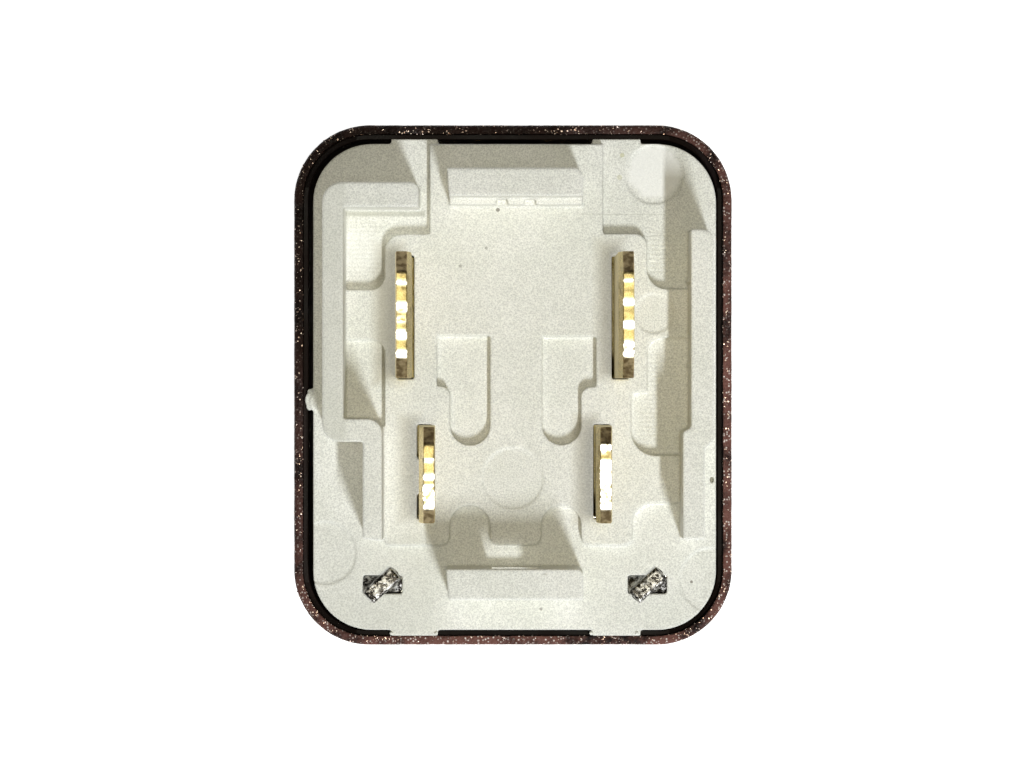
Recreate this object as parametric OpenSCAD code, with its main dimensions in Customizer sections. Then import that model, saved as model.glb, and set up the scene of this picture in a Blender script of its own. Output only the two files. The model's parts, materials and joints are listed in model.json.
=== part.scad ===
// Four-blade automotive relay, standing on the closed end of its cover with the blades up.
// Millimetres, +Z up. The origin is the middle of the closed end, z = 0 the face it stands on.

/* [Cover] */
// Outside width of the cover
cover_w = 22.7; // [22:0.1:24]
// Outside length of the cover
cover_l = 26.94; // [26:0.02:28]
// Height from the closed end to the rim
cover_h = 21.5; // [21:0.1:24]
// Radius of the cover's upright corners
cover_corner_r = 3.9; // [3.4:0.1:4.4]
// Radius of the edge around the closed end
cover_edge_r = 1.0; // [0.6:0.1:1.4]
// Radius of the outer edge of the rim
rim_edge_r = 0.22; // [0.1:0.02:0.3]
// Thickness of the side walls
cover_wall = 0.72; // [0.7:0.01:0.9]
// Thickness of the closed end
cover_end = 1.0; // [0.8:0.1:1.2]
// Width of the rim left outside the lead-in step
rim_land = 0.45; // [0.4:0.01:0.5]
// Depth of the lead-in step inside the rim
rim_step = 1.1; // [0.8:0.1:1.4]
// Depth of the plain panel sunk into the closed end
panel_sink = 0.2; // [0.1:0.05:0.3]

/* [Base] */
// Corner radius of the base
base_corner_r = 3.05; // [2.6:0.05:3.2]
// Thickness of the base plate at its low floor
base_t = 2.25; // [2:0.05:2.6]
// Height of the plateau above the low floor
plateau_h = 0.55; // [0.4:0.05:0.7]
// Height of the rails and bars above the plateau
rail_h = 3.5; // [3:0.1:4.2]
// Depth of the round ejector marks
mark_sink = 0.06; // [0.04:0.01:0.1]

/* [Blades] */
// Thickness of every blade
blade_t = 0.8; // [0.8:0.1:0.8]
// Width of the two load blades
load_blade_w = 6.3; // [6.3:0.1:6.3]
// Width of the two coil blades
coil_blade_w = 4.8; // [4.8:0.1:4.8]
// Height of the blade tips above the plateau
blade_h = 11.3; // [10.8:0.1:12]
// Width of the flat land left at a blade's tip
blade_land = 0.55; // [0.45:0.05:0.65]
// Corner cut at the tip of a load blade
load_corner = 1.05; // [0.8:0.05:1.2]
// Corner cut at the tip of a coil blade
coil_corner = 0.85; // [0.7:0.05:1]
// Lean of the bent coil blade in degrees
blade_lean = 1.7; // [0:0.1:3.4]
// Height above the plateau at which that blade is bent
bend_rise = 2.1; // [2.05:0.05:3]
// Diameter of the detent hole in a coil blade
blade_hole_d = 1.6; // [1.4:0.1:1.8]

/* [Magnet] */
// Width of the yoke's leg and of the bobbin's flanges
leg_w = 16; // [15:0.1:16.2]
// Thickness of the yoke
yoke_t = 1.2; // [1:0.1:1.4]
// Radius of the core
core_r = 3.0; // [2.6:0.1:3.2]
// Radius of the core's pole head
pole_r = 4.1; // [3.8:0.1:4.4]
// Thickness of the armature
armature_t = 1.2; // [1:0.1:1.3]
// Angle the armature opens by, in degrees
open_deg = 2.5; // [2:0.1:2.8]
// Thickness of the leaf spring
leaf_t = 0.25; // [0.2:0.01:0.25]

/* [Clearances] */
// Gap between the base and the side walls, across the width
base_gap_x = 0.19; // [0.15:0.01:0.25]
// Gap between the base and the side walls, along the length
base_gap_y = 0.16; // [0.12:0.01:0.2]
// Clearance around a blade in its slot
slot_gap = 0.05; // [0.03:0.01:0.08]
// Clearance around a rivet shank in its hole
rivet_gap = 0.02; // [0.01:0.01:0.04]
// Gap kept between the closed armature and the steel that it meets
air_gap = 0.1; // [0.06:0.01:0.15]

/* [Hidden] */
$fn = 48;

eps = 0.01;
floor_z = cover_h + 0.05;
base_under = floor_z - base_t;
plateau_z = floor_z + plateau_h;
rail_z = plateau_z + rail_h;
tip_z = plateau_z + blade_h;
inner_x = cover_w / 2 - cover_wall;
inner_y = cover_l / 2 - cover_wall;

// The base sits a little off the cover's middle; left, right, back and front are its edges
base_x = 0.08;
base_y = -0.10;
base_w = 2 * (inner_x - base_gap_x);
base_l = 2 * (inner_y - base_gap_y);
left = base_x - base_w / 2;
right = base_x + base_w / 2;
back = base_y + base_l / 2;
front = base_y - base_l / 2;
rail_l = left + 0.62;
rail_l_in = rail_l + 1.09;
rail_r = right - 0.26;
rail_r_in = right - 1.45;
rail_back = back - 2.13;
back_bar = [back - 2.85, back - 1.40];
ledge_front = back - 3.22;
front_bar = [front + 1.71, front + 3.31];
bar_x = [-3.30, 3.58];
bay_r = 1.04;
bay_x = [-2.23, 2.49];
side_bay_x = 6.17;

blade_common_x = -5.55;
blade_output_x = 5.55;
load_blade_y = 3.5;
coil_blade_x = 4.6;
coil_blade_y = -4.48;
plateau_l = blade_common_x - 1.08;
plateau_r = blade_output_x + 1.37;
panel_l = blade_common_x + 1.25;
panel_r = blade_output_x - 0.91;
plateau_front = coil_blade_y - coil_blade_w / 2 - 1.41;

yoke_x = 0.1;
yoke_y = 3.0 - inner_y;
tab_y = yoke_y - 0.58;
tab_w = 1.92;
tab_t = 0.85;
tab_ear = 1.14;
tab_x = leg_w / 2 - tab_ear;
tab_rise = 1.4;
tab_twist = 42;
leg_low = 4.8;
shelf_half = 4.75;
shelf_top = 17.8;
shelf_low = shelf_top - yoke_t;

pole_z = 4.9;
pole_t = 0.8;
neck_r = 2.0;
core_head_r = 2.6;
core_head_t = 0.4;
bobbin_low = 5.8;
bobbin_top = 16.5;
flange_t = 0.9;
tube_wall = 0.55;
tube_r = core_r + slot_gap + tube_wall;
stop_y = inner_y - 1.0;
stop_t = 0.5;
stop_w = 3.0;
strip_y = stop_y - 0.35;
contact_y = stop_y - 2.45;
flange_back = contact_y - 2.05;
flange_front = yoke_y + 2.2;
flange_l = flange_back - flange_front;
coil_y = (flange_back + flange_front) / 2;
winding_r = min(leg_w, flange_l) / 2 - 0.5;

hinge_y = yoke_y - 0.85;
hinge_z = leg_low;
armature_w = 13;
arm_nose = 3.4;
arm_side = 5.2;
arm_reach = 3.7;
arm_end = contact_y - arm_reach;
arm_top = leg_low - air_gap;
arm_low = arm_top - armature_t;
leaf_low = arm_low - leaf_t;
leaf_w = 6.4;
leaf_end = stop_y - 0.55;
leaf_top = 9.6;
bend_y = yoke_y - 0.2;
bend_z = 4.42;
bend_r = 1.0;
leg_rivet_x = [-1.9, 1.9];
leg_rivet_z = 8.2;
boss_x = [-1.6, 1.6];
boss_y = arm_end - 3.4;
rivet_r = 0.6;
head_r = 1.0;
head_t = 0.35;

contact_r = 1.3;
contact_t = 0.7;
contact_shank_r = 0.7;
clinch_t = 0.3;
fixed_low = arm_low + contact_t + 0.05;
tongue_low = fixed_low + contact_t;
tongue_top = tongue_low + blade_t;
strip_half = 1.6;
stop_top = leaf_low - (leaf_end - hinge_y) * sin(open_deg) - 0.05;

snap_x = [-5.1, 5.35];
snap_w = 2.4;
rib_x = [[-6.3, -3.9], [4.1, 6.6]];
window_low = cover_h - 5.1;
window_h = 1.7;
hook_t = 1.0;

wire_r = 0.13;
post_w = 0.8;
post_x = leg_w / 2 + 0.62;
post_y = coil_blade_y;
wrap_r = 0.72;
lead_r = 0.25;
res_y = contact_y - 0.7;
res_z = 13.7;
res_l = 5.2;
res_cap = 1.2;
post_drop = 0.4;
turns = 21;
turn_pitch = (bobbin_top - bobbin_low - 2 * flange_t - 0.2) / turns;
turn_dip = 0.18;

function arc(x, y, r, from, to, n = 6) =
    [for (i = [0 : n]) [x + r * cos(from + (to - from) * i / n), y + r * sin(from + (to - from) * i / n)]];

module rounded_block(w, l, h, r) {
    translate([-w / 2, -l / 2 + r, 0]) cube([w, l - 2 * r, h]);
    translate([-w / 2 + r, -l / 2, 0]) cube([w - 2 * r, l, h]);
    for (x = [-1, 1], y = [-1, 1])
        translate([x * (w / 2 - r), y * (l / 2 - r), 0]) cylinder(r = r, h = h);
}

// Half of the cover's upright section, from its middle to its outside at half-width r
function shell_half(r) = concat(
    arc(r - cover_edge_r, cover_edge_r, cover_edge_r, 270, 360, 6),
    arc(r - rim_edge_r, cover_h - rim_edge_r, rim_edge_r, 0, 90, 3));

function mirrored(half) = [for (i = [len(half) - 1 : -1 : 0]) [-half[i][0], half[i][1]]];

// Outside of the cover: a turned puck at each corner and a prism each way between them
module cover_outside() {
    w = cover_w / 2;
    l = cover_l / 2;
    r = cover_corner_r;
    for (x = [-1, 1], y = [-1, 1])
        translate([x * (w - r), y * (l - r), 0])
            rotate_extrude($fn = 64) polygon(concat([[0, 0]], shell_half(r), [[0, cover_h]]));
    translate([0, l - r, 0]) rotate([90, 0, 0]) linear_extrude(height = 2 * (l - r))
        polygon(concat(shell_half(w), mirrored(shell_half(w))));
    translate([-w + r, 0, 0]) rotate([90, 0, 90]) linear_extrude(height = 2 * (w - r))
        polygon(concat(shell_half(l), mirrored(shell_half(l))));
}

// The moulded shell: closed end down, lead-in step at the rim, four snap windows
module cover() color([0.16, 0.11, 0.10]) difference() {
    cover_outside();
    translate([0, 0, cover_end])
        rounded_block(cover_w - 2 * cover_wall, cover_l - 2 * cover_wall, cover_h,
            cover_corner_r - cover_wall);
    translate([0, 0, cover_h - rim_step])
        rounded_block(cover_w - 2 * rim_land, cover_l - 2 * rim_land, rim_step + 1,
            cover_corner_r - rim_land);
    translate([0, 0, -eps])
        rounded_block(cover_w - 5, cover_l - 5, panel_sink + eps, cover_corner_r - 2.2);
    for (x = snap_x, y = [-1, 1])
        translate([x - snap_w / 2 - 0.15, y * cover_l / 2 - 1, window_low])
            cube([snap_w + 0.3, 2, window_h]);
}

// Outline of the raised plateau; it runs under both rails
plateau_outline = concat(
    [[panel_l, back - 0.05], [panel_l, 7.80]],
    arc(plateau_l + 0.88, 6.92, 0.88, 90, 180),
    arc(plateau_l - 0.78, 5.70, 0.78, 0, -90),
    [[rail_l_in - 0.5, 4.92], [rail_l_in - 0.5, 2.33]],
    arc(plateau_l - 0.67, 1.66, 0.67, 90, 0),
    arc(plateau_l + 0.30, plateau_front + 0.30, 0.30, 180, 270),
    bay(bay_x[0]),
    bay(bay_x[1]),
    arc(side_bay_x - 0.45, plateau_front + 0.45, 0.45, 270, 360),
    arc(side_bay_x + bay_r, -7.15, bay_r, 180, 90),
    [[rail_r_in + 0.2, -6.11], [rail_r_in + 0.2, -3.63]],
    arc(side_bay_x + 1.18, -2.39, 1.24, 270, 180),
    arc(side_bay_x + 0.24, -0.66, 0.30, 180, 90),
    [[plateau_r + 0.02, -0.36]],
    arc(plateau_r + 0.72, 1.74, 0.70, 180, 90),
    [[rail_r_in + 0.2, 2.44], [rail_r_in + 0.2, 4.97]],
    arc(plateau_r + 1.05, 6.02, 1.05, 270, 180),
    arc(plateau_r - 0.60, 7.22, 0.60, 0, 90),
    [[panel_r, 7.82], [panel_r, back - 0.05]]);

// A round-topped bay in the plateau's front edge, centred at x
function bay(x) = concat(
    arc(x - bay_r - 0.45, plateau_front + 0.45, 0.45, 270, 360),
    arc(x, plateau_front + 1.03, bay_r, 180, 0, 12),
    arc(x + bay_r + 0.45, plateau_front + 0.45, 0.45, 180, 270));

// The two sunk pockets shaped like a flag with a round foot
pocket_left = concat(
    [[-1.19, 2.54], [-3.94, 2.54], [-3.94, -0.05], [-3.76, -0.05]],
    arc(-3.76, -0.55, 0.50, 90, 0),
    arc(-2.225, -2.07, 1.035, 180, 360, 14));
pocket_right = concat(
    [[1.50, 2.50]],
    arc(2.51, -2.07, 1.01, 180, 360, 14),
    arc(4.02, -0.60, 0.50, 180, 90),
    [[4.30, -0.10], [4.30, 2.50]]);

// Keying rail on the left: in at the back, down the side, round a step and down again
left_rail = concat(
    arc(rail_l + 1.00, rail_back - 1.00, 1.00, 90, 180),
    arc(rail_l + 0.90, -2.00, 0.90, 180, 270),
    [[plateau_l - 1.04, -2.90], [plateau_l - 1.04, -7.84], [plateau_l - 0.05, -7.98]],
    arc(plateau_l - 0.80, -2.46, 0.75, 0, 90),
    [[rail_l_in, -1.71], [rail_l_in, rail_back - 1.29], [panel_l - 0.52, rail_back - 1.29]],
    arc(panel_l - 0.92, rail_back - 0.40, 0.40, 0, 90));

// Keying rail on the right, straight with one small jog
right_rail = concat(
    [[rail_r_in, 7.93]],
    arc(rail_r - 0.50, 7.43, 0.50, 90, 0),
    [[rail_r, -2.85], [rail_r - 0.47, -3.30], [rail_r - 0.47, -7.88], [rail_r_in - 0.42, -7.88]],
    arc(rail_r_in - 0.12, -2.55, 0.30, 180, 90),
    [[rail_r_in, -2.10]]);

module slab(outline, low, high) {
    translate([0, 0, low]) linear_extrude(height = high - low) polygon(outline);
}

module block(x0, x1, y0, y1, z0, z1) {
    translate([x0, y0, z0]) cube([x1 - x0, y1 - y0, z1 - z0]);
}

// One snap hook of the base, which catches in a window of the cover
module hook(x, side) {
    low = window_low + 0.1;
    wall_y = inner_y - 0.2;
    y0 = side > 0 ? wall_y - hook_t : -wall_y;
    block(x - snap_w / 2, x + snap_w / 2, y0, y0 + hook_t, low, base_under + eps);
    translate([x - snap_w / 2, 0, low]) rotate([90, 0, 90]) linear_extrude(height = snap_w)
        polygon([for (p = [[-0.1, 0], [0.3, 0.35], [0.3, 1.0], [-0.1, 1.45]])
            [side * (wall_y + p[0]), p[1]]]);
}

// Slots for the four blades, cut right through the base
module blade_slot(x, y, w) {
    block(x - blade_t / 2 - slot_gap, x + blade_t / 2 + slot_gap, y - w / 2 - slot_gap,
        y + w / 2 + slot_gap, base_under - 1, plateau_z + 1);
}

// Latch bars across the back and the front; the back one has a ledge, the front one a window
module latch_bars() {
    slab([[bar_x[0] - 0.07, back_bar[1]], [bar_x[0] + 0.02, back_bar[0]], [bar_x[1], back_bar[0]],
        [bar_x[1], back_bar[1] - 0.34], [bar_x[1] - 0.32, back_bar[1]]], floor_z, rail_z);
    difference() {
        block(bar_x[0] + 0.04, bar_x[1], ledge_front, back_bar[0] + eps, floor_z, plateau_z + 1.6);
        for (x = [-0.57, 0.88])
            block(x - 0.29, x + 0.29, ledge_front - 1, ledge_front + 0.28, plateau_z + 0.3, rail_z);
    }
    difference() {
        slab([[bar_x[0] - 0.12, front_bar[1]], [bar_x[0] + 0.02, front_bar[0]],
            [bar_x[1], front_bar[0]], [bar_x[1], front_bar[1] - 0.22],
            [bar_x[1] - 0.20, front_bar[1]]], floor_z, rail_z);
        block(-1.1, 1.3, front_bar[0] - 1, front_bar[1] + 1, plateau_z + 0.1, rail_z - 0.7);
    }
}

// Small ribs on the base's back and front edges, which centre it in the rim
module edge_ribs() {
    for (x = rib_x) {
        block(x[0], x[1], back - 0.2, inner_y - 0.02, floor_z - 0.95, floor_z);
        block(x[0], x[1], -inner_y - 0.24, front + 0.2, floor_z - 0.95, floor_z);
    }
}

// Feet under the base that the yoke's shelf bears on
module standoffs() {
    block(-2.0, 2.2, yoke_y + 0.35, yoke_y + 1.55, shelf_top, base_under + eps);
    block(2.9, 4.4, 1.7, 3.0, shelf_top, base_under + eps);
    block(-2.3, -1.0, 2.3, 3.0, shelf_top, base_under + eps);
}

// Round ejector marks: place, radius and the floor that each is sunk in
marks = [[right - 3.21, back - 1.59, 1.55, floor_z], [left + 0.62, -8.7, 1.65, floor_z],
    [right - 0.22, -10.1, 1.7, floor_z], [plateau_r + 0.38, 3.70, 1.04, plateau_z],
    [0, -4.82, 1.6, plateau_z]];

// Moulded base: plate, plateau, keying rails, latch bars, hooks and standoffs
module base() color([0.86, 0.85, 0.78]) difference() {
    union() {
        translate([base_x, base_y, base_under]) rounded_block(base_w, base_l, base_t, base_corner_r);
        slab(plateau_outline, floor_z - 0.3, plateau_z);
        slab(left_rail, floor_z - 0.3, rail_z);
        slab(right_rail, floor_z - 0.3, rail_z);
        latch_bars();
        edge_ribs();
        standoffs();
        for (x = snap_x) {
            hook(x, 1);
            hook(x, -1);
        }
    }
    slab(pocket_left, floor_z, plateau_z + 1);
    slab(pocket_right, floor_z, plateau_z + 1);
    blade_slot(blade_common_x, load_blade_y, load_blade_w);
    blade_slot(blade_output_x, load_blade_y, load_blade_w);
    blade_slot(-coil_blade_x, coil_blade_y, coil_blade_w);
    blade_slot(coil_blade_x, coil_blade_y, coil_blade_w);
    for (x = [-tab_x, tab_x])
        block(yoke_x + x - tab_w / 2 - slot_gap, yoke_x + x + tab_w / 2 + slot_gap,
            tab_y - tab_t / 2 - slot_gap, tab_y + tab_t / 2 + slot_gap, base_under - 1, floor_z + 1);
    block(-stop_w / 2 - rivet_gap, stop_w / 2 + rivet_gap, stop_y - rivet_gap,
        stop_y + stop_t + rivet_gap, base_under - 1, base_under + 1.2);
    for (m = marks)
        translate([m[0], m[1], m[3] - mark_sink]) cylinder(r = m[2], h = 1);
}

// Steel angle: leg beside the coil, shelf under the base, two tabs through the base
module yoke() color([0.55, 0.55, 0.56]) difference() {
    union() {
        block(yoke_x - leg_w / 2, yoke_x + leg_w / 2, yoke_y - yoke_t, yoke_y, leg_low, shelf_top);
        slab([[yoke_x - leg_w / 2, yoke_y - yoke_t], [yoke_x + leg_w / 2, yoke_y - yoke_t],
            [yoke_x + leg_w / 2, yoke_y + 1.15], [shelf_half, yoke_y + 2.35], [shelf_half, 3.2],
            [-shelf_half, 3.2], [-shelf_half, yoke_y + 2.35], [yoke_x - leg_w / 2, yoke_y + 1.15]],
            shelf_low, shelf_top);
        for (x = [-tab_x, tab_x]) {
            block(yoke_x + x - tab_ear, yoke_x + x + tab_ear, yoke_y - yoke_t, yoke_y, shelf_top - eps,
                base_under - 0.1);
            block(yoke_x + x - tab_w / 2, yoke_x + x + tab_w / 2, tab_y - tab_t / 2,
                tab_y + tab_t / 2, shelf_top, floor_z + 0.02);
            translate([yoke_x + x, tab_y, floor_z]) rotate([0, 0, tab_twist])
                block(-tab_w / 2, tab_w / 2, -tab_t / 2, tab_t / 2, 0, tab_rise);
        }
    }
    translate([0, coil_y, shelf_low - 1]) cylinder(r = neck_r + rivet_gap, h = yoke_t + 2);
    for (x = leg_rivet_x)
        translate([x, yoke_y - yoke_t - 1, leg_rivet_z]) rotate([-90, 0, 0])
            cylinder(r = rivet_r + rivet_gap, h = yoke_t + 2);
}

// Soft-iron core with its pole head down and its neck riveted over the yoke
module core() color([0.62, 0.62, 0.64]) translate([0, coil_y, 0]) {
    translate([0, 0, pole_z]) cylinder(r = pole_r, h = pole_t);
    translate([0, 0, pole_z]) cylinder(r = core_r, h = shelf_low - pole_z);
    translate([0, 0, pole_z]) cylinder(r = neck_r, h = shelf_top + core_head_t - pole_z);
    translate([0, 0, shelf_top]) cylinder(r = core_head_r, h = core_head_t);
}

module flange(z) {
    translate([0, coil_y, z]) rounded_block(leg_w, flange_l, flange_t, 1.2);
}

// Moulded bobbin: tube and two flanges
module bobbin() color([0.20, 0.22, 0.24]) difference() {
    union() {
        flange(bobbin_low);
        flange(bobbin_top - flange_t);
        translate([0, coil_y, bobbin_low]) cylinder(r = tube_r, h = bobbin_top - bobbin_low);
    }
    translate([0, coil_y, 0]) cylinder(r = core_r + slot_gap, h = bobbin_top + 1);
    // notches that lead the wire ends out
    for (x = [-1, 1])
        block(x * (leg_w / 2 - 0.4) - 0.5, x * (leg_w / 2 - 0.4) + 0.5, post_y - 0.4, post_y + 0.4,
            bobbin_top - flange_t - 1, bobbin_top + 1);
}

// Enamelled copper winding, ridged where the turns lie side by side
module winding() color([0.60, 0.25, 0.12]) translate([0, coil_y, bobbin_low + flange_t + 0.1])
    rotate_extrude() polygon(concat(
        [[tube_r + slot_gap, 0], [winding_r - turn_dip, 0]],
        [for (i = [0 : turns - 1], s = [0 : 1])
            [winding_r - s * turn_dip, (i + (s + 1) / 2) * turn_pitch]],
        [[tube_r + slot_gap, turns * turn_pitch]]));

module rod(a, b, r) {
    d = b - a;
    l = norm(d);
    translate(a) rotate([0, acos(d[2] / l), atan2(d[1], d[0])]) cylinder(r = r, h = l, $fn = 24);
}

// One wire end: out of the winding, through the flange notch and three turns round its post
module coil_lead(side) color([0.66, 0.30, 0.14]) {
    low = bobbin_top - 2.2;
    rod([side * (winding_r - 1.6), post_y, low + 0.6], [side * (post_x - wrap_r), post_y, low + 0.6],
        wire_r);
    for (z = [0 : 0.3 : 0.6])
        translate([side * post_x, post_y, low + z]) rotate_extrude()
            translate([wrap_r, 0]) circle(r = wire_r, $fn = 16);
}

module swing() {
    translate([0, hinge_y, hinge_z]) rotate([-open_deg, 0, 0]) translate([0, -hinge_y, -hinge_z])
        children();
}

// Soft-iron plate that the pole pulls up; its outer lower edge is coined away
module armature() color([0.58, 0.58, 0.60]) swing() difference() {
    translate([-armature_w / 2, 0, 0]) rotate([90, 0, 90]) linear_extrude(height = armature_w)
        polygon([[hinge_y, arm_top], [hinge_y, arm_low + 0.7], [hinge_y + 0.7, arm_low],
            [arm_end, arm_low], [arm_end, arm_top]]);
    for (x = [-1, 1]) {
        slab([[x * arm_nose, arm_end + 1], [x * armature_w, arm_end + 1],
            [x * armature_w, arm_end - 3], [x * arm_side, arm_end - 3],
            [x * arm_nose, arm_end - 1.2]], 0, hinge_z * 2);
        slab([[x * armature_w, hinge_y - 1], [x * armature_w, hinge_y + 1.8],
            [x * (arm_side + 0.4), hinge_y + 1.8], [x * (arm_side - 0.2), hinge_y + 1.2],
            [x * (arm_side - 0.2), hinge_y - 1]], 0, hinge_z * 2);
    }
    boss_holes();
}

module boss_holes() {
    for (x = boss_x)
        translate([x, boss_y, 0]) cylinder(r = rivet_r + rivet_gap, h = hinge_z * 2);
}

// Two bosses of the armature headed over the leaf spring
module armature_rivets() color([0.55, 0.55, 0.57]) swing() for (x = boss_x)
    translate([x, boss_y, leaf_low - head_t]) {
        cylinder(r = rivet_r, h = head_t + leaf_t + armature_t);
        cylinder(r = head_r, h = head_t);
    }

// Leaf spring: riveted to the yoke's leg, bent round its foot and on under the armature
module contact_spring() color([0.72, 0.45, 0.25]) difference() {
    union() {
        block(-leaf_w / 2, leaf_w / 2, yoke_y - yoke_t - leaf_t, yoke_y - yoke_t, bend_z, leaf_top);
        translate([-leaf_w / 2, bend_y, bend_z]) rotate([90, 0, 90]) linear_extrude(height = leaf_w)
            polygon(concat(arc(0, 0, bend_r + leaf_t, 180, 270 - open_deg, 14),
                arc(0, 0, bend_r, 270 - open_deg, 180, 14)));
        swing() slab([[-leaf_w / 2, bend_y - 0.06], [leaf_w / 2, bend_y - 0.06], [leaf_w / 2, 3.4],
            [1.9, 5.8], [1.9, leaf_end], [-1.9, leaf_end], [-1.9, 5.8], [-leaf_w / 2, 3.4]],
            leaf_low, arm_low);
    }
    for (x = leg_rivet_x)
        translate([x, -inner_y, leg_rivet_z]) rotate([-90, 0, 0])
            cylinder(r = rivet_r + rivet_gap, h = 3);
    swing() boss_holes();
    swing() translate([0, contact_y, 0]) cylinder(r = contact_shank_r + rivet_gap, h = hinge_z * 2);
    // window that softens the bend
    block(-1.2, 1.2, -inner_y, yoke_y + 1.15, 2, 6.4);
}

// Two rivets that hold the leaf spring on the yoke's leg
module spring_rivets() color([0.60, 0.60, 0.62]) for (x = leg_rivet_x)
    translate([x, yoke_y, leg_rivet_z]) rotate([-90, 0, 0]) {
        cylinder(r = head_r, h = head_t);
        translate([0, 0, -yoke_t - leaf_t - head_t]) cylinder(r = head_r, h = head_t);
        translate([0, 0, -yoke_t - leaf_t - head_t])
            cylinder(r = rivet_r, h = yoke_t + leaf_t + 2 * head_t);
    }

// Silver contact headed through the free end of the leaf spring
module moving_contact() color([0.80, 0.80, 0.80]) swing() translate([0, contact_y, 0]) {
    translate([0, 0, arm_low]) cylinder(r = contact_r, h = contact_t);
    translate([0, 0, leaf_low - clinch_t]) cylinder(r = contact_shank_r, h = clinch_t + leaf_t + eps);
    translate([0, 0, leaf_low - clinch_t]) cylinder(r = head_r, h = clinch_t);
}

// Silver contact headed through the tongue of the output blade
module fixed_contact() color([0.80, 0.80, 0.80]) translate([0, contact_y, fixed_low]) {
    cylinder(r = contact_r, h = contact_t);
    cylinder(r = contact_shank_r, h = contact_t + blade_t + clinch_t);
    translate([0, 0, contact_t + blade_t]) cylinder(r = head_r, h = clinch_t);
}

// Bent strip pressed into the base, which the open spring rests on
module back_stop() color([0.62, 0.60, 0.55]) {
    block(-stop_w / 2, stop_w / 2, stop_y, stop_y + stop_t, stop_top - stop_t, base_under + 1.15);
    block(-stop_w / 2, stop_w / 2, contact_y + head_r + 0.1, stop_y + stop_t, stop_top - stop_t,
        stop_top);
}

// The upright part of a blade: face shape and edge shape taken together
module blade_blank(w, corner, low) {
    intersection() {
        translate([-blade_t / 2, 0, 0]) rotate([90, 0, 90]) linear_extrude(height = blade_t)
            polygon([[-w / 2, low], [w / 2, low], [w / 2, tip_z - corner], [w / 2 - corner, tip_z],
                [-w / 2 + corner, tip_z], [-w / 2, tip_z - corner]]);
        translate([0, w / 2, 0]) rotate([90, 0, 0]) linear_extrude(height = w)
            polygon([[-blade_t / 2, low], [blade_t / 2, low], [blade_t / 2, tip_z - 1.1],
                [blade_land / 2, tip_z], [-blade_land / 2, tip_z], [-blade_t / 2, tip_z - 1.1]]);
    }
}

// Load blade that feeds the yoke, with its foot welded to the shelf
module blade_common() color([0.80, 0.66, 0.32]) {
    translate([blade_common_x, load_blade_y, 0])
        blade_blank(load_blade_w, load_corner, shelf_top + 0.1);
    block(blade_common_x - blade_t / 2, -3.0, load_blade_y - load_blade_w / 2, 3.0,
        shelf_top, shelf_top + blade_t);
}

// Load blade whose strip runs down the side of the coil and ends in the contact tongue
module blade_output() color([0.80, 0.66, 0.32]) difference() {
    root = base_under - 0.1;
    edge = blade_output_x + blade_t / 2;
    union() {
        translate([blade_output_x, load_blade_y, 0])
            blade_blank(load_blade_w, load_corner, root - 1.9);
        block(edge - blade_t, edge, load_blade_y, strip_y, root - 1.9, root);
        block(-strip_half, edge, strip_y - blade_t, strip_y, root - 3.2, root);
        block(-strip_half, strip_half, strip_y - blade_t, strip_y, tongue_low, root);
        block(-strip_half, strip_half, contact_y - 1.6, strip_y, tongue_low, tongue_top);
    }
    translate([0, contact_y, tongue_low - 1]) cylinder(r = contact_shank_r + rivet_gap, h = 3);
}

// Coil blade: foot under the base and a post for the wire end
module coil_blade(side, lean) color([0.80, 0.66, 0.32]) {
    root = base_under - 0.1;
    foot = [side * (coil_blade_x - blade_t / 2), side * (post_x + post_w / 2)];
    bend = plateau_z + bend_rise;
    translate([side * coil_blade_x, coil_blade_y, 0]) {
        block(-blade_t / 2, blade_t / 2, -coil_blade_w / 2, coil_blade_w / 2, root - blade_t, bend);
        translate([0, 0, bend]) rotate([0, lean, 0]) translate([0, 0, -bend]) difference() {
            blade_blank(coil_blade_w, coil_corner, bend - 2 * eps);
            translate([-2, 0, plateau_z + blade_h / 2]) rotate([0, 90, 0])
                cylinder(r = blade_hole_d / 2, h = 4);
        }
    }
    block(min(foot), max(foot), post_y - 1.2, post_y + 1.2, root - blade_t, root);
    block(side * post_x - post_w / 2, side * post_x + post_w / 2, post_y - post_w / 2,
        post_y + post_w / 2, res_z - post_drop, root);
}

// Suppression resistor across the coil
module resistor() color([0.70, 0.62, 0.48]) translate([-res_l / 2, res_y, res_z]) rotate([0, 90, 0]) {
    cylinder(r = 0.95, h = res_l);
    cylinder(r = 1.1, h = res_cap);
    translate([0, 0, res_l - res_cap]) cylinder(r = 1.1, h = res_cap);
}

// The resistor's two tinned wires, bent round the coil to the posts
module resistor_leads() color([0.75, 0.75, 0.76]) for (s = [-1, 1]) {
    rod([s * res_l / 2, res_y, res_z], [s * post_x, res_y, res_z], lead_r);
    translate([s * post_x, res_y, res_z]) sphere(r = lead_r, $fn = 24);
    rod([s * post_x, res_y, res_z], [s * post_x, post_y + post_w / 2, res_z], lead_r);
}

cover();
base();
yoke();
core();
bobbin();
winding();
coil_lead(-1);  // coil_lead_a
coil_lead(1);  // coil_lead_b
armature();
armature_rivets();
contact_spring();
spring_rivets();
moving_contact();
fixed_contact();
back_stop();
blade_common();
blade_output();
coil_blade(-1, blade_lean);  // blade_coil_a
coil_blade(1, 0);  // blade_coil_b
resistor();
resistor_leads();
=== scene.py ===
"""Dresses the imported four-blade relay: moulded cover and base, blades, magnet and contacts.

Every object is in metres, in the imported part's own frame: +Z up, blades up, closed end on z = 0.
Sizes in the classes below are in millimetres.
"""

from __future__ import annotations

import json
import logging
import math
import sys
from dataclasses import dataclass
from enum import Enum
from typing import Any, Callable, Iterable, Mapping, Sequence

import bmesh
import bpy
import numpy as np
from mathutils import Matrix, Vector, noise

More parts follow.
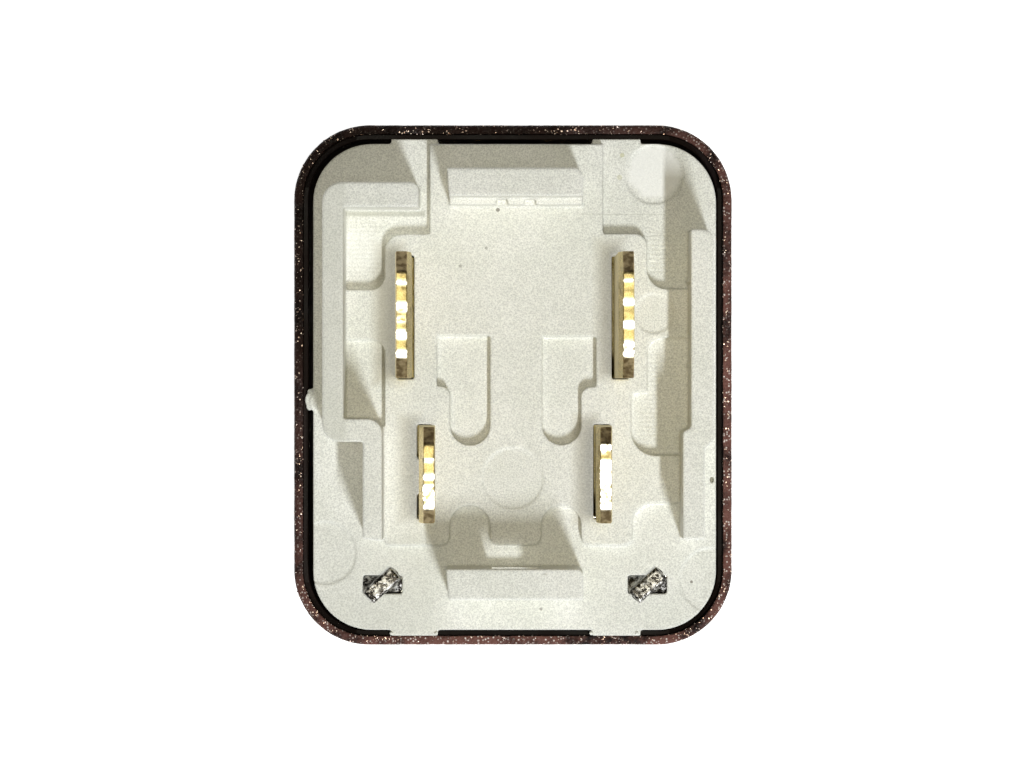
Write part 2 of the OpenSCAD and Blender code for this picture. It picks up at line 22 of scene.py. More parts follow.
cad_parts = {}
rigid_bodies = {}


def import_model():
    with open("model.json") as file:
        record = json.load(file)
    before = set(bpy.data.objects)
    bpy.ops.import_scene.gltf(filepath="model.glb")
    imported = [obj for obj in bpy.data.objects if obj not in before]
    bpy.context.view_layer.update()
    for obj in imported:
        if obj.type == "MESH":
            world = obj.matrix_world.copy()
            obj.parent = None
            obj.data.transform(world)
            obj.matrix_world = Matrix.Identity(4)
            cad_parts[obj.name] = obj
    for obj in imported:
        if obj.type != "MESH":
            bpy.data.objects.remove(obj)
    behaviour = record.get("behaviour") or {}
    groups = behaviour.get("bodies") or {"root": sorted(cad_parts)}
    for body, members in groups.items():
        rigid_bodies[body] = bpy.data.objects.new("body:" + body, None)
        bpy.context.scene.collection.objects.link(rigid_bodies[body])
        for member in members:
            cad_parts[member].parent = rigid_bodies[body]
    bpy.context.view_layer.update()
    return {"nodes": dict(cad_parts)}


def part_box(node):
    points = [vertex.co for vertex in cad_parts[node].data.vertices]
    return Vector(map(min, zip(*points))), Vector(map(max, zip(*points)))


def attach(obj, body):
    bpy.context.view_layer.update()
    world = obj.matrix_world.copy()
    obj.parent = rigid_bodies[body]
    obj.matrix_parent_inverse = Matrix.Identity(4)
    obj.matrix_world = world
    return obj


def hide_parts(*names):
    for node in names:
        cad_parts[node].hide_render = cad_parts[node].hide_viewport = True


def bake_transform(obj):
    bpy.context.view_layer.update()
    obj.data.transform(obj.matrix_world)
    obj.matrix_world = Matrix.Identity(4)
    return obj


LOG = logging.getLogger("relay")
MM = 0.001
# Mesh masks: rounded strips, the tip's cut corners, which get painted shade, and the land's spots,
# which get painted highlights.
EDGE_MASK = "edge"
CUT_MASK = "cut"
HIGHLIGHT_MASK = "highlight_spots"
MERGE = 2e-6
NOISE_SEED = 7

Colour = tuple[float, float, float]
Point = tuple[float, float, float]
Profile = Sequence[tuple[float, float]]


class Body(Enum):
    """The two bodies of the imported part."""

    FRAME = "frame"
    ARMATURE = "armature"


class Slot(Enum):
    """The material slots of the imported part."""

    COVER = "cover_shell"
    BASE = "base_moulding"
    BRASS = "blade_brass"
    PLATED = "plated_steel"
    IRON = "soft_iron"
    BOBBIN = "bobbin_moulding"
    COPPER = "enamelled_copper"
    LEAF = "leaf_alloy"
    SILVER = "contact_silver"
    COAT = "resistor_coat"
    TINNED = "tinned_wire"


class Axis(Enum):
    """The axis that a turned piece is turned about."""

    Y = "y"
    Z = "z"


# ---------------------------------------------------------------- mesh work


def new_object(name: str, mesh: bpy.types.Mesh) -> bpy.types.Object:
    """Link a mesh to the scene as an object at the origin.

    Args:
        name: Name of the object and its mesh.
        mesh: The mesh, in metres, already in its place.

    Returns:
        The new object.
    """
    mesh.name = name
    obj = bpy.data.objects.new(name, mesh)
    bpy.context.scene.collection.objects.link(obj)
    return obj


def from_bmesh(name: str, bm: bmesh.types.BMesh) -> bpy.types.Object:
    """Turn a bmesh into a linked object and free the bmesh.

    Args:
        name: Name of the object.
        bm: The bmesh, in metres.

    Returns:
        The new object.
    """
    mesh = bpy.data.meshes.new(name)
    bm.to_mesh(mesh)
    bm.free()
    return new_object(name, mesh)


def outward(bm: bmesh.types.BMesh) -> None:
    """Merge doubles and make all faces of a closed bmesh point outwards."""
    bmesh.ops.remove_doubles(bm, verts=bm.verts, dist=MERGE)
    bmesh.ops.recalc_face_normals(bm, faces=bm.faces)


def bake(obj: bpy.types.Object) -> bpy.types.Object:
    """Replace an object's mesh by its evaluated one and drop its modifiers.

    Args:
        obj: An object with live modifiers.

    Returns:
        The same object with a plain mesh.
    """
    graph = bpy.context.evaluated_depsgraph_get()
    plain = bpy.data.meshes.new_from_object(obj.evaluated_get(graph))
    obj.modifiers.clear()
    obj.data = plain
    plain.name = obj.name
    return obj


def shade(obj: bpy.types.Object, degrees: float = 32.0) -> bpy.types.Object:
    """Shade an object smooth, with sharp edges above an angle and area-weighted normals.

    Args:
        obj: The object.
        degrees: Angle from which an edge stays sharp.

    Returns:
        The same object.
    """
    obj.data.shade_smooth()
    obj.data.set_sharp_from_angle(angle=math.radians(degrees))
    weighted = obj.modifiers.new("weighted", "WEIGHTED_NORMAL")
    weighted.keep_sharp = True
    weighted.weight = 80
    return bake(obj)


def join(name: str, parts: Sequence[bpy.types.Object]) -> bpy.types.Object:
    """Join several objects at the origin into one.

    Args:
        name: Name of the joined object.
        parts: The objects; all but the first are used up.

    Returns:
        The joined object.
    """
    with bpy.context.temp_override(active_object=parts[0], selected_editable_objects=list(parts)):
        bpy.ops.object.join()
    parts[0].name = name
    parts[0].data.name = name
    return parts[0]


def edge_room(edge: bmesh.types.BMEdge, sharp: set[bmesh.types.BMEdge]) -> float:
    """Distance from an edge, straight across its faces, to the nearest other sharp edge.

    Args:
        edge: The edge that would be rounded.
        sharp: All edges that would be rounded.

    Returns:
        The distance in metres.
    """
    middle = (edge.verts[0].co + edge.verts[1].co) / 2
    way = (edge.verts[1].co - edge.verts[0].co).normalized()
    room = 1.0
    for face in edge.link_faces:
        for other in face.edges:
            if other is edge or other not in sharp or set(other.verts) & set(edge.verts):
                continue
            start, end = other.verts[0].co, other.verts[1].co
            along = end - start
            share = (middle - start).dot(along) / max(along.length_squared, 1e-18)
            gap = start + along * min(max(share, 0), 1) - middle
            if abs(gap.dot(way)) < 0.6 * gap.length:
                room = min(room, gap.length)
    return room


def softened(
    source: bpy.types.Object,
    name: str,
    width: float,
    keep: Callable[[bmesh.types.BMesh], None] | None = None,
    angle: float = 22.0,
) -> bpy.types.Object:
    """Copy a node's solid and round its edges as moulding or tumbling leaves them.

    The rounded strips are marked in the edge attribute, so that a finish can wear them.

    Args:
        source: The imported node.
        name: Name of the new piece.
        width: Width of the rounding in millimetres.
        keep: Cuts the merged copy before its edges are rounded.
        angle: Angle in degrees from which an edge is rounded.

    Returns:
        The new object.
    """
    bm = bmesh.new()
    bm.from_mesh(source.data)
    outward(bm)
    if keep:
        keep(bm)
    bmesh.ops.dissolve_limit(bm, angle_limit=math.radians(0.3), verts=bm.verts, edges=bm.edges)
    weight = bm.edges.layers.float.new("bevel_weight_edge")
    limit = math.radians(angle)
    sharp = {e for e in bm.edges if len(e.link_faces) == 2 and e.calc_face_angle(0) > limit}
    for edge in sharp:
        share = min(1.0, 0.4 * edge_room(edge, sharp) / (width * MM))
        edge[weight] = share if share > 0.2 else 0.0
    obj = from_bmesh(name, bm)
    for _ in range(2):
        obj.data.materials.append(None)
    rounding = obj.modifiers.new("rounding", "BEVEL")
    rounding.limit_method = "WEIGHT"
    rounding.width = width * MM
    rounding.segments = 2
    rounding.use_clamp_overlap = False
    rounding.loop_slide = False
    rounding.material = 1
    bake(obj)
    mark_edges(obj)
    return obj


def blocks(name: str, corners: Iterable[tuple[Point, Point]]) -> bpy.types.Object:
    """Make blocks from their low and high corners.

    Args:
        name: Name of the object.
        corners: Low and high corner of each block in millimetres.

    Returns:
        One object with all blocks.
    """
    bm = bmesh.new()
    for low, high in corners:
        size, centre = (Vector(high) - Vector(low)), (Vector(high) + Vector(low)) / 2
        for vertex in bmesh.ops.create_cube(bm, size=1.0)["verts"]:
            vertex.co = (vertex.co * size + centre) * MM
    return from_bmesh(name, bm)


def carve(obj: bpy.types.Object, cutter: bpy.types.Object) -> None:
    """Cut one object out of another, then remove the cutter."""
    opening = obj.modifiers.new("opening", "BOOLEAN")
    opening.object = cutter
    opening.solver = "EXACT"
    bake(obj)
    bpy.data.objects.remove(cutter)


def moulded(source: bpy.types.Object, name: str, voxel: float, rounds: int, triangles: int,
            added: Iterable[tuple[Point, Point]],
            grooves: Iterable[tuple[Point, Point]]) -> bpy.types.Object:
    """Copy a node's solid as a soft moulding: even small faces, smoothed, then thinned out.

    Args:
        source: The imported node.
        name: Name of the new piece.
        voxel: Size of the even faces in millimetres.
        rounds: Rounds of smoothing, which set how soft the edges are.
        triangles: Most triangles that are kept.
        added: Small blocks that are moulded on.
        grooves: Small blocks that are cut out.

    Returns:
        The new object.
    """
    bm = bmesh.new()
    bm.from_mesh(source.data)
    outward(bm)
    obj = from_bmesh(name, bm)
    carve(obj, blocks("grooves", grooves))
    obj = join(name, [obj, blocks("nibs", added)])
    even = obj.modifiers.new("even", "REMESH")
    even.mode = "VOXEL"
    even.voxel_size = voxel * MM
    soft = obj.modifiers.new("soft", "SMOOTH")
    soft.factor = 0.5
    soft.iterations = rounds
    bake(obj)
    thin = obj.modifiers.new("thin", "DECIMATE")
    thin.ratio = min(1.0, triangles / (2 * len(obj.data.polygons)))
    return bake(obj)


def mark_edges(obj: bpy.types.Object) -> None:
    """Store which faces are rounded strips, told by their slot, and put all faces in one slot."""
    mesh = obj.data
    strips = np.zeros(len(mesh.polygons), np.int32)
    mesh.polygons.foreach_get("material_index", strips)
    loops = np.zeros(len(mesh.polygons), np.int32)
    mesh.polygons.foreach_get("loop_total", loops)
    mask = mesh.attributes.new(EDGE_MASK, "FLOAT", "CORNER")
    mask.data.foreach_set("value", np.repeat(strips, loops).astype(np.float32))
    mesh.polygons.foreach_set("material_index", np.zeros(len(mesh.polygons), np.int32))
    mesh.materials.clear()


def cut_at(height: float, above: bool) -> Callable[[bmesh.types.BMesh], None]:
    """Make a cut that keeps one side of a level plane and closes it.

    Args:
        height: Height of the plane in millimetres.
        above: True to keep what is above it.

    Returns:
        A function that cuts a bmesh.
    """

    def cut(bm: bmesh.types.BMesh) -> None:
        """Cut the bmesh at the plane and fill the opening."""
        made = bmesh.ops.bisect_plane(
            bm, geom=bm.verts[:] + bm.edges[:] + bm.faces[:], dist=1e-7,
            plane_co=(0, 0, height * MM), plane_no=(0, 0, 1),
            clear_inner=above, clear_outer=not above)
        rim = [e for e in made["geom_cut"] if isinstance(e, bmesh.types.BMEdge)]
        bmesh.ops.holes_fill(bm, edges=rim)
        outward(bm)

    return cut


def walls(bm: bmesh.types.BMesh, rings: Sequence[np.ndarray]) -> list[bmesh.types.BMVert]:
    """Join rings with equal counts of points by walls, and close the lowest ring.

    Args:
        bm: The bmesh.
        rings: Points of each ring in millimetres, from the bottom up.

    Returns:
        The vertices of the top ring, which is left open.
    """
    rows = [[bm.verts.new(p * MM) for p in ring] for ring in rings]
    for low, high in zip(rows, rows[1:]):
        for i, corner in enumerate(low):
            j = (i + 1) % len(low)
            bm.faces.new((corner, low[j], high[j], high[i]))
    bm.faces.new(rows[0][::-1])
    return rows[-1]


def loft(name: str, rings: Sequence[np.ndarray]) -> bpy.types.Object:
    """Skin a closed solid over rings with equal counts of points, with a flat cap at each end.

    Args:
        name: Name of the object.
        rings: Points of each ring in millimetres, one row each.

    Returns:
        The new object.
    """
    bm = bmesh.new()
    bm.faces.new(walls(bm, rings))
    outward(bm)
    return from_bmesh(name, bm)


def rounded_ring(half: tuple[float, float], radius: float, z: float,
                 steps: tuple[int, int, int]) -> np.ndarray:
    """Points of a level rounded rectangle about the Z axis.

    Args:
        half: Half sizes along X and Y in millimetres.
        radius: Corner radius.
        z: Height.
        steps: Points along an X side, along a Y side and round a corner.

    Returns:
        An array of points, one row each.
    """
    radius = max(radius, 0.02)
    x, y = half[0] - radius, half[1] - radius
    points: list[Point] = []
    sides = [((x, y), 0, (-1, 0), steps[0], 2 * x), ((-x, y), 90, (0, -1), steps[1], 2 * y),
             ((-x, -y), 180, (1, 0), steps[0], 2 * x), ((x, -y), 270, (0, 1), steps[1], 2 * y)]
    for (cx, cy), start, way, count, length in sides:
        for i in range(steps[2]):
            turn = math.radians(start + 90 * i / (steps[2] - 1))
            points.append((cx + radius * math.cos(turn), cy + radius * math.sin(turn), z))
        end_x, end_y, _ = points[-1]
        for i in range(1, count):
            points.append((end_x + way[0] * length * i / count,
                           end_y + way[1] * length * i / count, z))
    return np.array(points)


def turned(name: str, profile: Profile, centre: Point, axis: Axis = Axis.Z,
           segments: int = 48) -> bpy.types.Object:
    """Turn a profile of (radius, height) about an axis; ends at radius 0 close at a pole.

    Args:
        name: Name of the object.
        profile: Points of the profile in millimetres, from low to high.
        centre: Place of the profile's origin.
        axis: The axis that it is turned about.
        segments: Number of steps round the axis.

    Returns:
        The new object.
    """
    bm = bmesh.new()
    rows = []
    for radius, height in profile:
        steps = segments if radius > 1e-6 else 1
        row = []
        for i in range(steps):
            turn = 2 * math.pi * i / steps
            p = Vector((radius * math.cos(turn), radius * math.sin(turn), height))
            if axis is Axis.Y:
                p = Vector((p.x, p.z, -p.y))
            row.append(bm.verts.new((p + Vector(centre)) * MM))
        rows.append(row)
    for low, high in zip(rows, rows[1:]):
        for i in range(segments):
            j = (i + 1) % segments
            ring = [low[i % len(low)], low[j % len(low)], high[j % len(high)], high[i % len(high)]]
            corners = list(dict.fromkeys(ring))
            if len(corners) > 2:
                bm.faces.new(corners)
    outward(bm)
    return from_bmesh(name, bm)


def domed(radius: float, low: float, high: float, rise: float) -> list[tuple[float, float]]:
    """Profile of a head with a rounded lower edge and a domed top.

    Args:
        radius: Radius of the head in millimetres.
        low: Height of its underside.
        high: Height of its middle.
        rise: How far the middle stands above the edge.

    Returns:
        Points of (radius, height) from the lower to the upper pole.
    """
    edge = 0.06
    points = [(0.0, low), (radius - edge, low), (radius - 0.3 * edge, low + 0.3 * edge),
              (radius, low + edge), (radius, high - rise - edge)]
    for i in range(1, 8):
        turn = math.radians(90 * i / 8)
        points.append((radius * math.cos(turn) ** 0.55, high - rise - edge
                       + (rise + edge) * math.sin(turn)))
    return points + [(0.0, high)]


def jitter(point: Vector, size: float, seed: float) -> Vector:
    """Smooth random vector for a place on a piece.

    Args:
        point: The place in metres.
        size: Size of the unevenness in millimetres.
        seed: Offset that sets one piece apart from another.

    Returns:
        A vector with parts between about -1 and 1.
    """
    return noise.noise_vector(point / (size * MM) + Vector((seed, 2 * seed, 3 * seed)))


# ---------------------------------------------------------------- node trees


class TreeWriter:
    """Writes the nodes of a shader, group or Geometry Nodes tree."""

    def __init__(self, tree: bpy.types.NodeTree) -> None:
        """Start writing into a tree."""
        self.tree = tree

    def add(self, kind: str, settings: Mapping[str, Any] | None = None,
            inputs: Mapping[Any, Any] | None = None) -> bpy.types.Node:
        """Add a node, set its options, and fill or link its inputs.

        Args:
            kind: The node's bl_idname.
            settings: Options of the node by name.
            inputs: Values or output sockets by input name or number.

        Returns:
            The new node.
        """
        node = self.tree.nodes.new(kind)
        for key, value in (settings or {}).items():
            setattr(node, key, value)
        for key, value in (inputs or {}).items():
            self.fill(node.inputs[key], value)
        return node

    def fill(self, socket: bpy.types.NodeSocket, value: Any) -> None:
        """Link an output to a socket, or set the socket's own value."""
        if isinstance(value, bpy.types.NodeSocket):
            self.tree.links.new(value, socket)
        elif isinstance(value, tuple) and socket.type == "RGBA":
            socket.default_value = (*value[:3], 1.0)
        else:
            socket.default_value = value

    def math(self, operation: str, *values: Any, clamp: bool = False) -> bpy.types.NodeSocket:
        """Add a Math node.

        Args:
            operation: The operation's name.
            values: Its inputs in order.
            clamp: True to keep the result between 0 and 1.

        Returns:
            The node's output.
        """
        return self.add("ShaderNodeMath", {"operation": operation, "use_clamp": clamp},
                        dict(enumerate(values))).outputs[0]

    def vector(self, operation: str, *values: Any) -> bpy.types.NodeSocket:
        """Add a Vector Math node.

        Args:
            operation: The operation's name.
            values: Its inputs in order.

        Returns:
            The node's vector output.
        """
        return self.add("ShaderNodeVectorMath", {"operation": operation},
                        dict(enumerate(values))).outputs[0]

    def blend(self, factor: Any, first: Any, second: Any,
              mode: str = "MIX") -> bpy.types.NodeSocket:
        """Mix two colours.

        Args:
            factor: Share of the second colour.
            first: First colour.
            second: Second colour.
            mode: How they are mixed.

        Returns:
            The mixed colour.
        """
        node = self.add("ShaderNodeMix", {"data_type": "RGBA", "blend_type": mode})
        for socket, value in ((node.inputs[0], factor), (node.inputs[6], first),
                              (node.inputs[7], second)):
            self.fill(socket, value)
        return node.outputs[2]

    def remap(self, value: Any, low: float, high: float, to_low: float = 0.0,
              to_high: float = 1.0) -> bpy.types.NodeSocket:
        """Map a range of values smoothly to another.

        Args:
            value: The value.
            low: Start of its range.
            high: End of its range.
            to_low: Result at the start.
            to_high: Result at the end.

        Returns:
            The mapped value.
        """
        return self.add("ShaderNodeMapRange", {"interpolation_type": "SMOOTHSTEP"},
                        {"Value": value, "From Min": low, "From Max": high,
                         "To Min": to_low, "To Max": to_high}).outputs[0]

    def noise(self, vector: Any, scale: Any, detail: float = 2.0,
              rough: float = 0.5) -> bpy.types.NodeSocket:
        """Add a Noise Texture.

        Args:
            vector: Its coordinates.
            scale: Its scale, per metre.
            detail: Number of finer layers.
            rough: Strength of the finer layers.

        Returns:
            The node's value.
        """
        return self.add("ShaderNodeTexNoise", None,
                        {"Vector": vector, "Scale": scale, "Detail": detail,
                         "Roughness": rough}).outputs[0]


def per_metre(size: float) -> float:
    """Scale of a texture whose features have a size in millimetres."""
    return 1.0 / (size * MM)


class EffectShelf:
    """The shader effects that several finishes share, each built once as a node group."""

    def __init__(self) -> None:
        """Build every effect."""
        self.groups = {
            "grain": self.grain(),
            "spot": self.spot(),
            "zone": self.zone(),
            "drawn": self.drawn(),
            "wear": self.wear(),
            "painted_glint": self.painted_glint(),
        }

    @staticmethod
    def start(name: str, inputs: Mapping[str, tuple[str, Any]],
              outputs: Iterable[str]) -> tuple[TreeWriter, bpy.types.Node, bpy.types.Node]:
        """Make an empty group with named sockets.

        Args:
            name: Name of the group.
            inputs: Kind and default of each input by name.
            outputs: Names of the value outputs.

        Returns:
            The writer, the group's input node and its output node.
        """
        tree = bpy.data.node_groups.new(name, "ShaderNodeTree")
        for label, (kind, default) in inputs.items():
            socket = tree.interface.new_socket(label, in_out="INPUT", socket_type=kind)
            socket.default_value = default
        for label in outputs:
            tree.interface.new_socket(label, in_out="OUTPUT", socket_type="NodeSocketFloat")
        writer = TreeWriter(tree)
        return writer, writer.add("NodeGroupInput"), writer.add("NodeGroupOutput")

    def grain(self) -> bpy.types.NodeTree:
        """Fine eroded grain and a slow drift of tint."""
        w, source, result = self.start(
            "moulded_grain",
            {"Vector": ("NodeSocketVector", (0, 0, 0)),
             "Grain Scale": ("NodeSocketFloat", per_metre(0.1)),
             "Drift Scale": ("NodeSocketFloat", per_metre(4.0))},
            ("Height", "Drift"))
        fine = w.noise(source.outputs["Vector"], source.outputs["Grain Scale"], 2.5, 0.6)
        slow = w.noise(source.outputs["Vector"], source.outputs["Drift Scale"], 3.0, 0.55)
        w.fill(result.inputs["Height"], fine)
        w.fill(result.inputs["Drift"], w.remap(slow, 0.3, 0.7))
        return w.tree

    def spot(self) -> bpy.types.NodeTree:
        """A round spot at a place, with an uneven border."""
        w, source, result = self.start(
            "spot",
            {"Vector": ("NodeSocketVector", (0, 0, 0)), "Centre": ("NodeSocketVector", (0, 0, 0)),
             "Radius": ("NodeSocketFloat", MM), "Unevenness": ("NodeSocketFloat", 0.3),
             "Softness": ("NodeSocketFloat", 0.25)},
            ("Mask",))
        away = w.add("ShaderNodeVectorMath", {"operation": "DISTANCE"},
                     {0: source.outputs["Vector"], 1: source.outputs["Centre"]}).outputs["Value"]
        share = w.math("DIVIDE", away, source.outputs["Radius"])
        ragged = w.math("MULTIPLY", w.math("SUBTRACT", w.noise(
            source.outputs["Vector"], per_metre(0.35), 2.0), 0.5), source.outputs["Unevenness"])
        full = w.math("SUBTRACT", 1.0, source.outputs["Softness"])
        w.fill(result.inputs["Mask"], w.remap(w.math("ADD", share, ragged), 1.0, full))
        return w.tree

    def zone(self) -> bpy.types.NodeTree:
        """A box-shaped zone with a soft border."""
        w, source, result = self.start(
            "zone",
            {"Vector": ("NodeSocketVector", (0, 0, 0)), "Low": ("NodeSocketVector", (0, 0, 0)),
             "High": ("NodeSocketVector", (0, 0, 0)), "Border": ("NodeSocketFloat", 0.1 * MM)},
            ("Mask",))
        inside = w.vector("MINIMUM",
                          w.vector("SUBTRACT", source.outputs["Vector"], source.outputs["Low"]),
                          w.vector("SUBTRACT", source.outputs["High"], source.outputs["Vector"]))
        parts = w.add("ShaderNodeSeparateXYZ", None, {0: inside})
        least = w.math("MINIMUM", w.math("MINIMUM", parts.outputs[0], parts.outputs[1]),
                       parts.outputs[2])
        w.fill(result.inputs["Mask"], w.math(
            "DIVIDE", least, source.outputs["Border"], clamp=True))
        return w.tree

    def drawn(self) -> bpy.types.NodeTree:
        """Marks drawn out along one way by rolling or shearing."""
        w, source, result = self.start(
            "drawn_marks",
            {"Vector": ("NodeSocketVector", (0, 0, 0)), "Stretch": ("NodeSocketVector", (1, 1, 1)),
             "Scale": ("NodeSocketFloat", per_metre(0.1))},
            ("Height", "Mask"))
        along = w.vector("MULTIPLY", source.outputs["Vector"], source.outputs["Stretch"])
        marks = w.noise(along, source.outputs["Scale"], 3.0, 0.6)
        w.fill(result.inputs["Height"], marks)
        w.fill(result.inputs["Mask"], w.remap(marks, 0.42, 0.62))
        return w.tree

    def wear(self) -> bpy.types.NodeTree:
        """Rounded edges rubbed bare here and there."""
        w, source, result = self.start(
            "edge_wear",
            {"Vector": ("NodeSocketVector", (0, 0, 0)),
             "Scale": ("NodeSocketFloat", per_metre(0.6)),
             "Amount": ("NodeSocketFloat", 0.6)},
            ("Mask",))
        edge = w.add("ShaderNodeAttribute", {"attribute_name": EDGE_MASK}).outputs["Fac"]
        broken = w.remap(w.noise(source.outputs["Vector"], source.outputs["Scale"], 3.0), 0.35, 0.6)
        w.fill(result.inputs["Mask"], w.math(
            "MULTIPLY", w.math("MULTIPLY", edge, broken), source.outputs["Amount"], clamp=True))
        return w.tree

    def painted_glint(self) -> bpy.types.NodeTree:
        """Scattered bright grains, each of its own strength: a mask for painted glints."""
        w, source, result = self.start(
            "painted_glint",
            {"Vector": ("NodeSocketVector", (0, 0, 0)),
             "Scale": ("NodeSocketFloat", per_metre(0.1)),
             "Share": ("NodeSocketFloat", 0.25)},
            ("Mask", "Height"))
        cells = w.add("ShaderNodeTexVoronoi", {"feature": "F1"},
                      {"Vector": source.outputs["Vector"], "Scale": source.outputs["Scale"],
                       "Randomness": 1.0})
        lot = w.add("ShaderNodeSeparateColor", None, {0: cells.outputs["Color"]}).outputs[0]
        drawn = w.math("GREATER_THAN", source.outputs["Share"], lot)
        core = w.remap(cells.outputs["Distance"], 0.5, 0.15)
        w.fill(result.inputs["Mask"], w.math("MULTIPLY", drawn, core))
        w.fill(result.inputs["Height"], w.math("SUBTRACT", 1.0, cells.outputs["Distance"]))
        return w.tree

    def place(self, writer: TreeWriter, name: str, inputs: Mapping[str, Any]) -> bpy.types.Node:
        """Place an effect in a material with its own values.

        Args:
            writer: Writer of the material's tree.
            name: Name of the effect.
            inputs: Values or sockets by input name.

        Returns:
            The group node.
        """
        return writer.add("ShaderNodeGroup", {"node_tree": self.groups[name]}, inputs)


def start_material(name: str) -> tuple[bpy.types.Material, TreeWriter, bpy.types.Node, Any]:
    """Start a material with a Principled BSDF and Object coordinates.

    Args:
        name: Name of the material.

    Returns:
        The material, its writer, its Principled BSDF and the coordinate socket.
    """
    material = bpy.data.materials.new(name)
    material.use_nodes = True
    writer = TreeWriter(material.node_tree)
    shader = material.node_tree.nodes["Principled BSDF"]
    coordinates = writer.add("ShaderNodeTexCoord").outputs["Object"]
    return material, writer, shader, coordinates


@dataclass(frozen=True)
class Spot:
    """A small mark in a surface, in millimetres."""

    x: float
    y: float
    z: float
    radius: float
    colour: Colour
    strength: float = 0.8
    softness: float = 0.25


@dataclass(frozen=True)
class Patch:
    """A box-shaped zone of another tint, in millimetres.

    Some stand in for shadows, and they show from every side and in any light.
    """

    low: Point
    high: Point
    colour: Colour
    strength: float = 0.3
    border: float = 0.02


@dataclass(frozen=True)
class MouldedFinish:
    """Injection-moulded plastic with an eroded grain."""

    name: str
    light: Colour
    dark: Colour
    roughness: float = 0.5
    grain: float = 0.1
    relief: float = 0.012
    drift: float = 4.0
    wear_and_highlight: Colour | None = None
    mottle: float = 0.28
    gloss: float = 0.4
    spots: tuple[Spot, ...] = ()

    def build(self, shelf: EffectShelf) -> bpy.types.Material:
        """Build the material.

        Args:
            shelf: The shared effects.

        Returns:
            The material.
        """
        material, w, shader, at = start_material(self.name)
        grain = shelf.place(w, "grain", {"Vector": at, "Grain Scale": per_metre(self.grain),
                                         "Drift Scale": per_metre(self.drift)})
        colour = w.blend(grain.outputs["Drift"], self.dark, self.light)
        fine = w.remap(grain.outputs["Height"], 0.25, 0.75, 1 - self.mottle, 1 + 0.6 * self.mottle)
        colour = w.blend(1.0, colour, w.add("ShaderNodeCombineColor", None,
                                            {0: fine, 1: fine, 2: fine}).outputs[0], "MULTIPLY")
        if self.wear_and_highlight:
            wear = shelf.place(w, "wear", {"Vector": at, "Amount": 0.5})
            colour = w.blend(wear.outputs["Mask"], colour, self.wear_and_highlight)
        colour, height = self.details(w, shelf, at, colour, grain.outputs["Height"])
        w.fill(shader.inputs["Base Color"], colour)
        shader.inputs["Specular IOR Level"].default_value = self.gloss
        w.fill(shader.inputs["Roughness"], w.remap(
            grain.outputs["Drift"], 0, 1, self.roughness - 0.06, self.roughness + 0.06))
        bump = w.add("ShaderNodeBump", None,
                     {"Strength": 1.0, "Distance": self.relief * MM, "Height": height})
        w.fill(shader.inputs["Normal"], bump.outputs[0])
        return material

    def details(self, w: TreeWriter, shelf: EffectShelf, at: Any, colour: Any,
                height: Any) -> tuple[Any, Any]:
        """Add what only this finish has: here the small spots.

        Args:
            w: Writer of the material.
            shelf: The shared effects.
            at: Object coordinates.
            colour: Colour so far.
            height: Relief so far.

        Returns:
            The colour and the relief.
        """
        for spot in self.spots:
            mark = shelf.place(w, "spot", {
                "Vector": at, "Radius": spot.radius * MM, "Softness": spot.softness,
                "Centre": (spot.x * MM, spot.y * MM, spot.z * MM)})
            share = w.math("MULTIPLY", mark.outputs["Mask"], spot.strength)
            colour = w.blend(share, colour, spot.colour)
        return colour, height


@dataclass(frozen=True)
class MilledMoulding(MouldedFinish):
    """Moulded plastic whose recess floors keep the fine lines of the mould's cutter."""

    line_pitch: float = 0.235
    line_relief: float = 0.5
    floors: tuple[tuple[Point, Point], ...] = ()
    patches: tuple[Patch, ...] = ()

    def details(self, w: TreeWriter, shelf: EffectShelf, at: Any, colour: Any,
                height: Any) -> tuple[Any, Any]:
        """Add the cutter's lines on the recess floors with painted shade between them, then the
        patches and the spots.

        Args:
            w: Writer of the material.
            shelf: The shared effects.
            at: Object coordinates.
            colour: Colour so far.
            height: Relief so far.

        Returns:
            The colour and the relief.
        """
        lines = w.add("ShaderNodeTexWave", {"wave_type": "BANDS", "bands_direction": "Y"},
                      {"Vector": at, "Scale": math.pi / 10 * per_metre(self.line_pitch),
                       "Distortion": 0.3}).outputs["Fac"]
        for low, high in self.floors:
            floor = shelf.place(w, "zone", {
                "Vector": at, "Low": tuple(v * MM for v in low),
                "High": tuple(v * MM for v in high), "Border": 0.15 * MM})
            share = w.math("MULTIPLY", floor.outputs["Mask"], self.line_relief)
            height = w.math("ADD", height, w.math("MULTIPLY", lines, share))
            # Painted shade: the troughs between the cutter's lines are darkened.
            shadowed = w.math("MULTIPLY", w.math("SUBTRACT", 1.0, lines),
                              w.math("MULTIPLY", floor.outputs["Mask"], 0.10))
            colour = w.blend(shadowed, colour, (0.35, 0.33, 0.27))
        for patch in self.patches:
            zone = shelf.place(w, "zone", {
                "Vector": at, "Low": tuple(v * MM for v in patch.low),
                "High": tuple(v * MM for v in patch.high), "Border": patch.border * MM})
            share = w.math("MULTIPLY", zone.outputs["Mask"], patch.strength)
            colour = w.blend(share, colour, patch.colour)
        return MouldedFinish.details(self, w, shelf, at, colour, height)


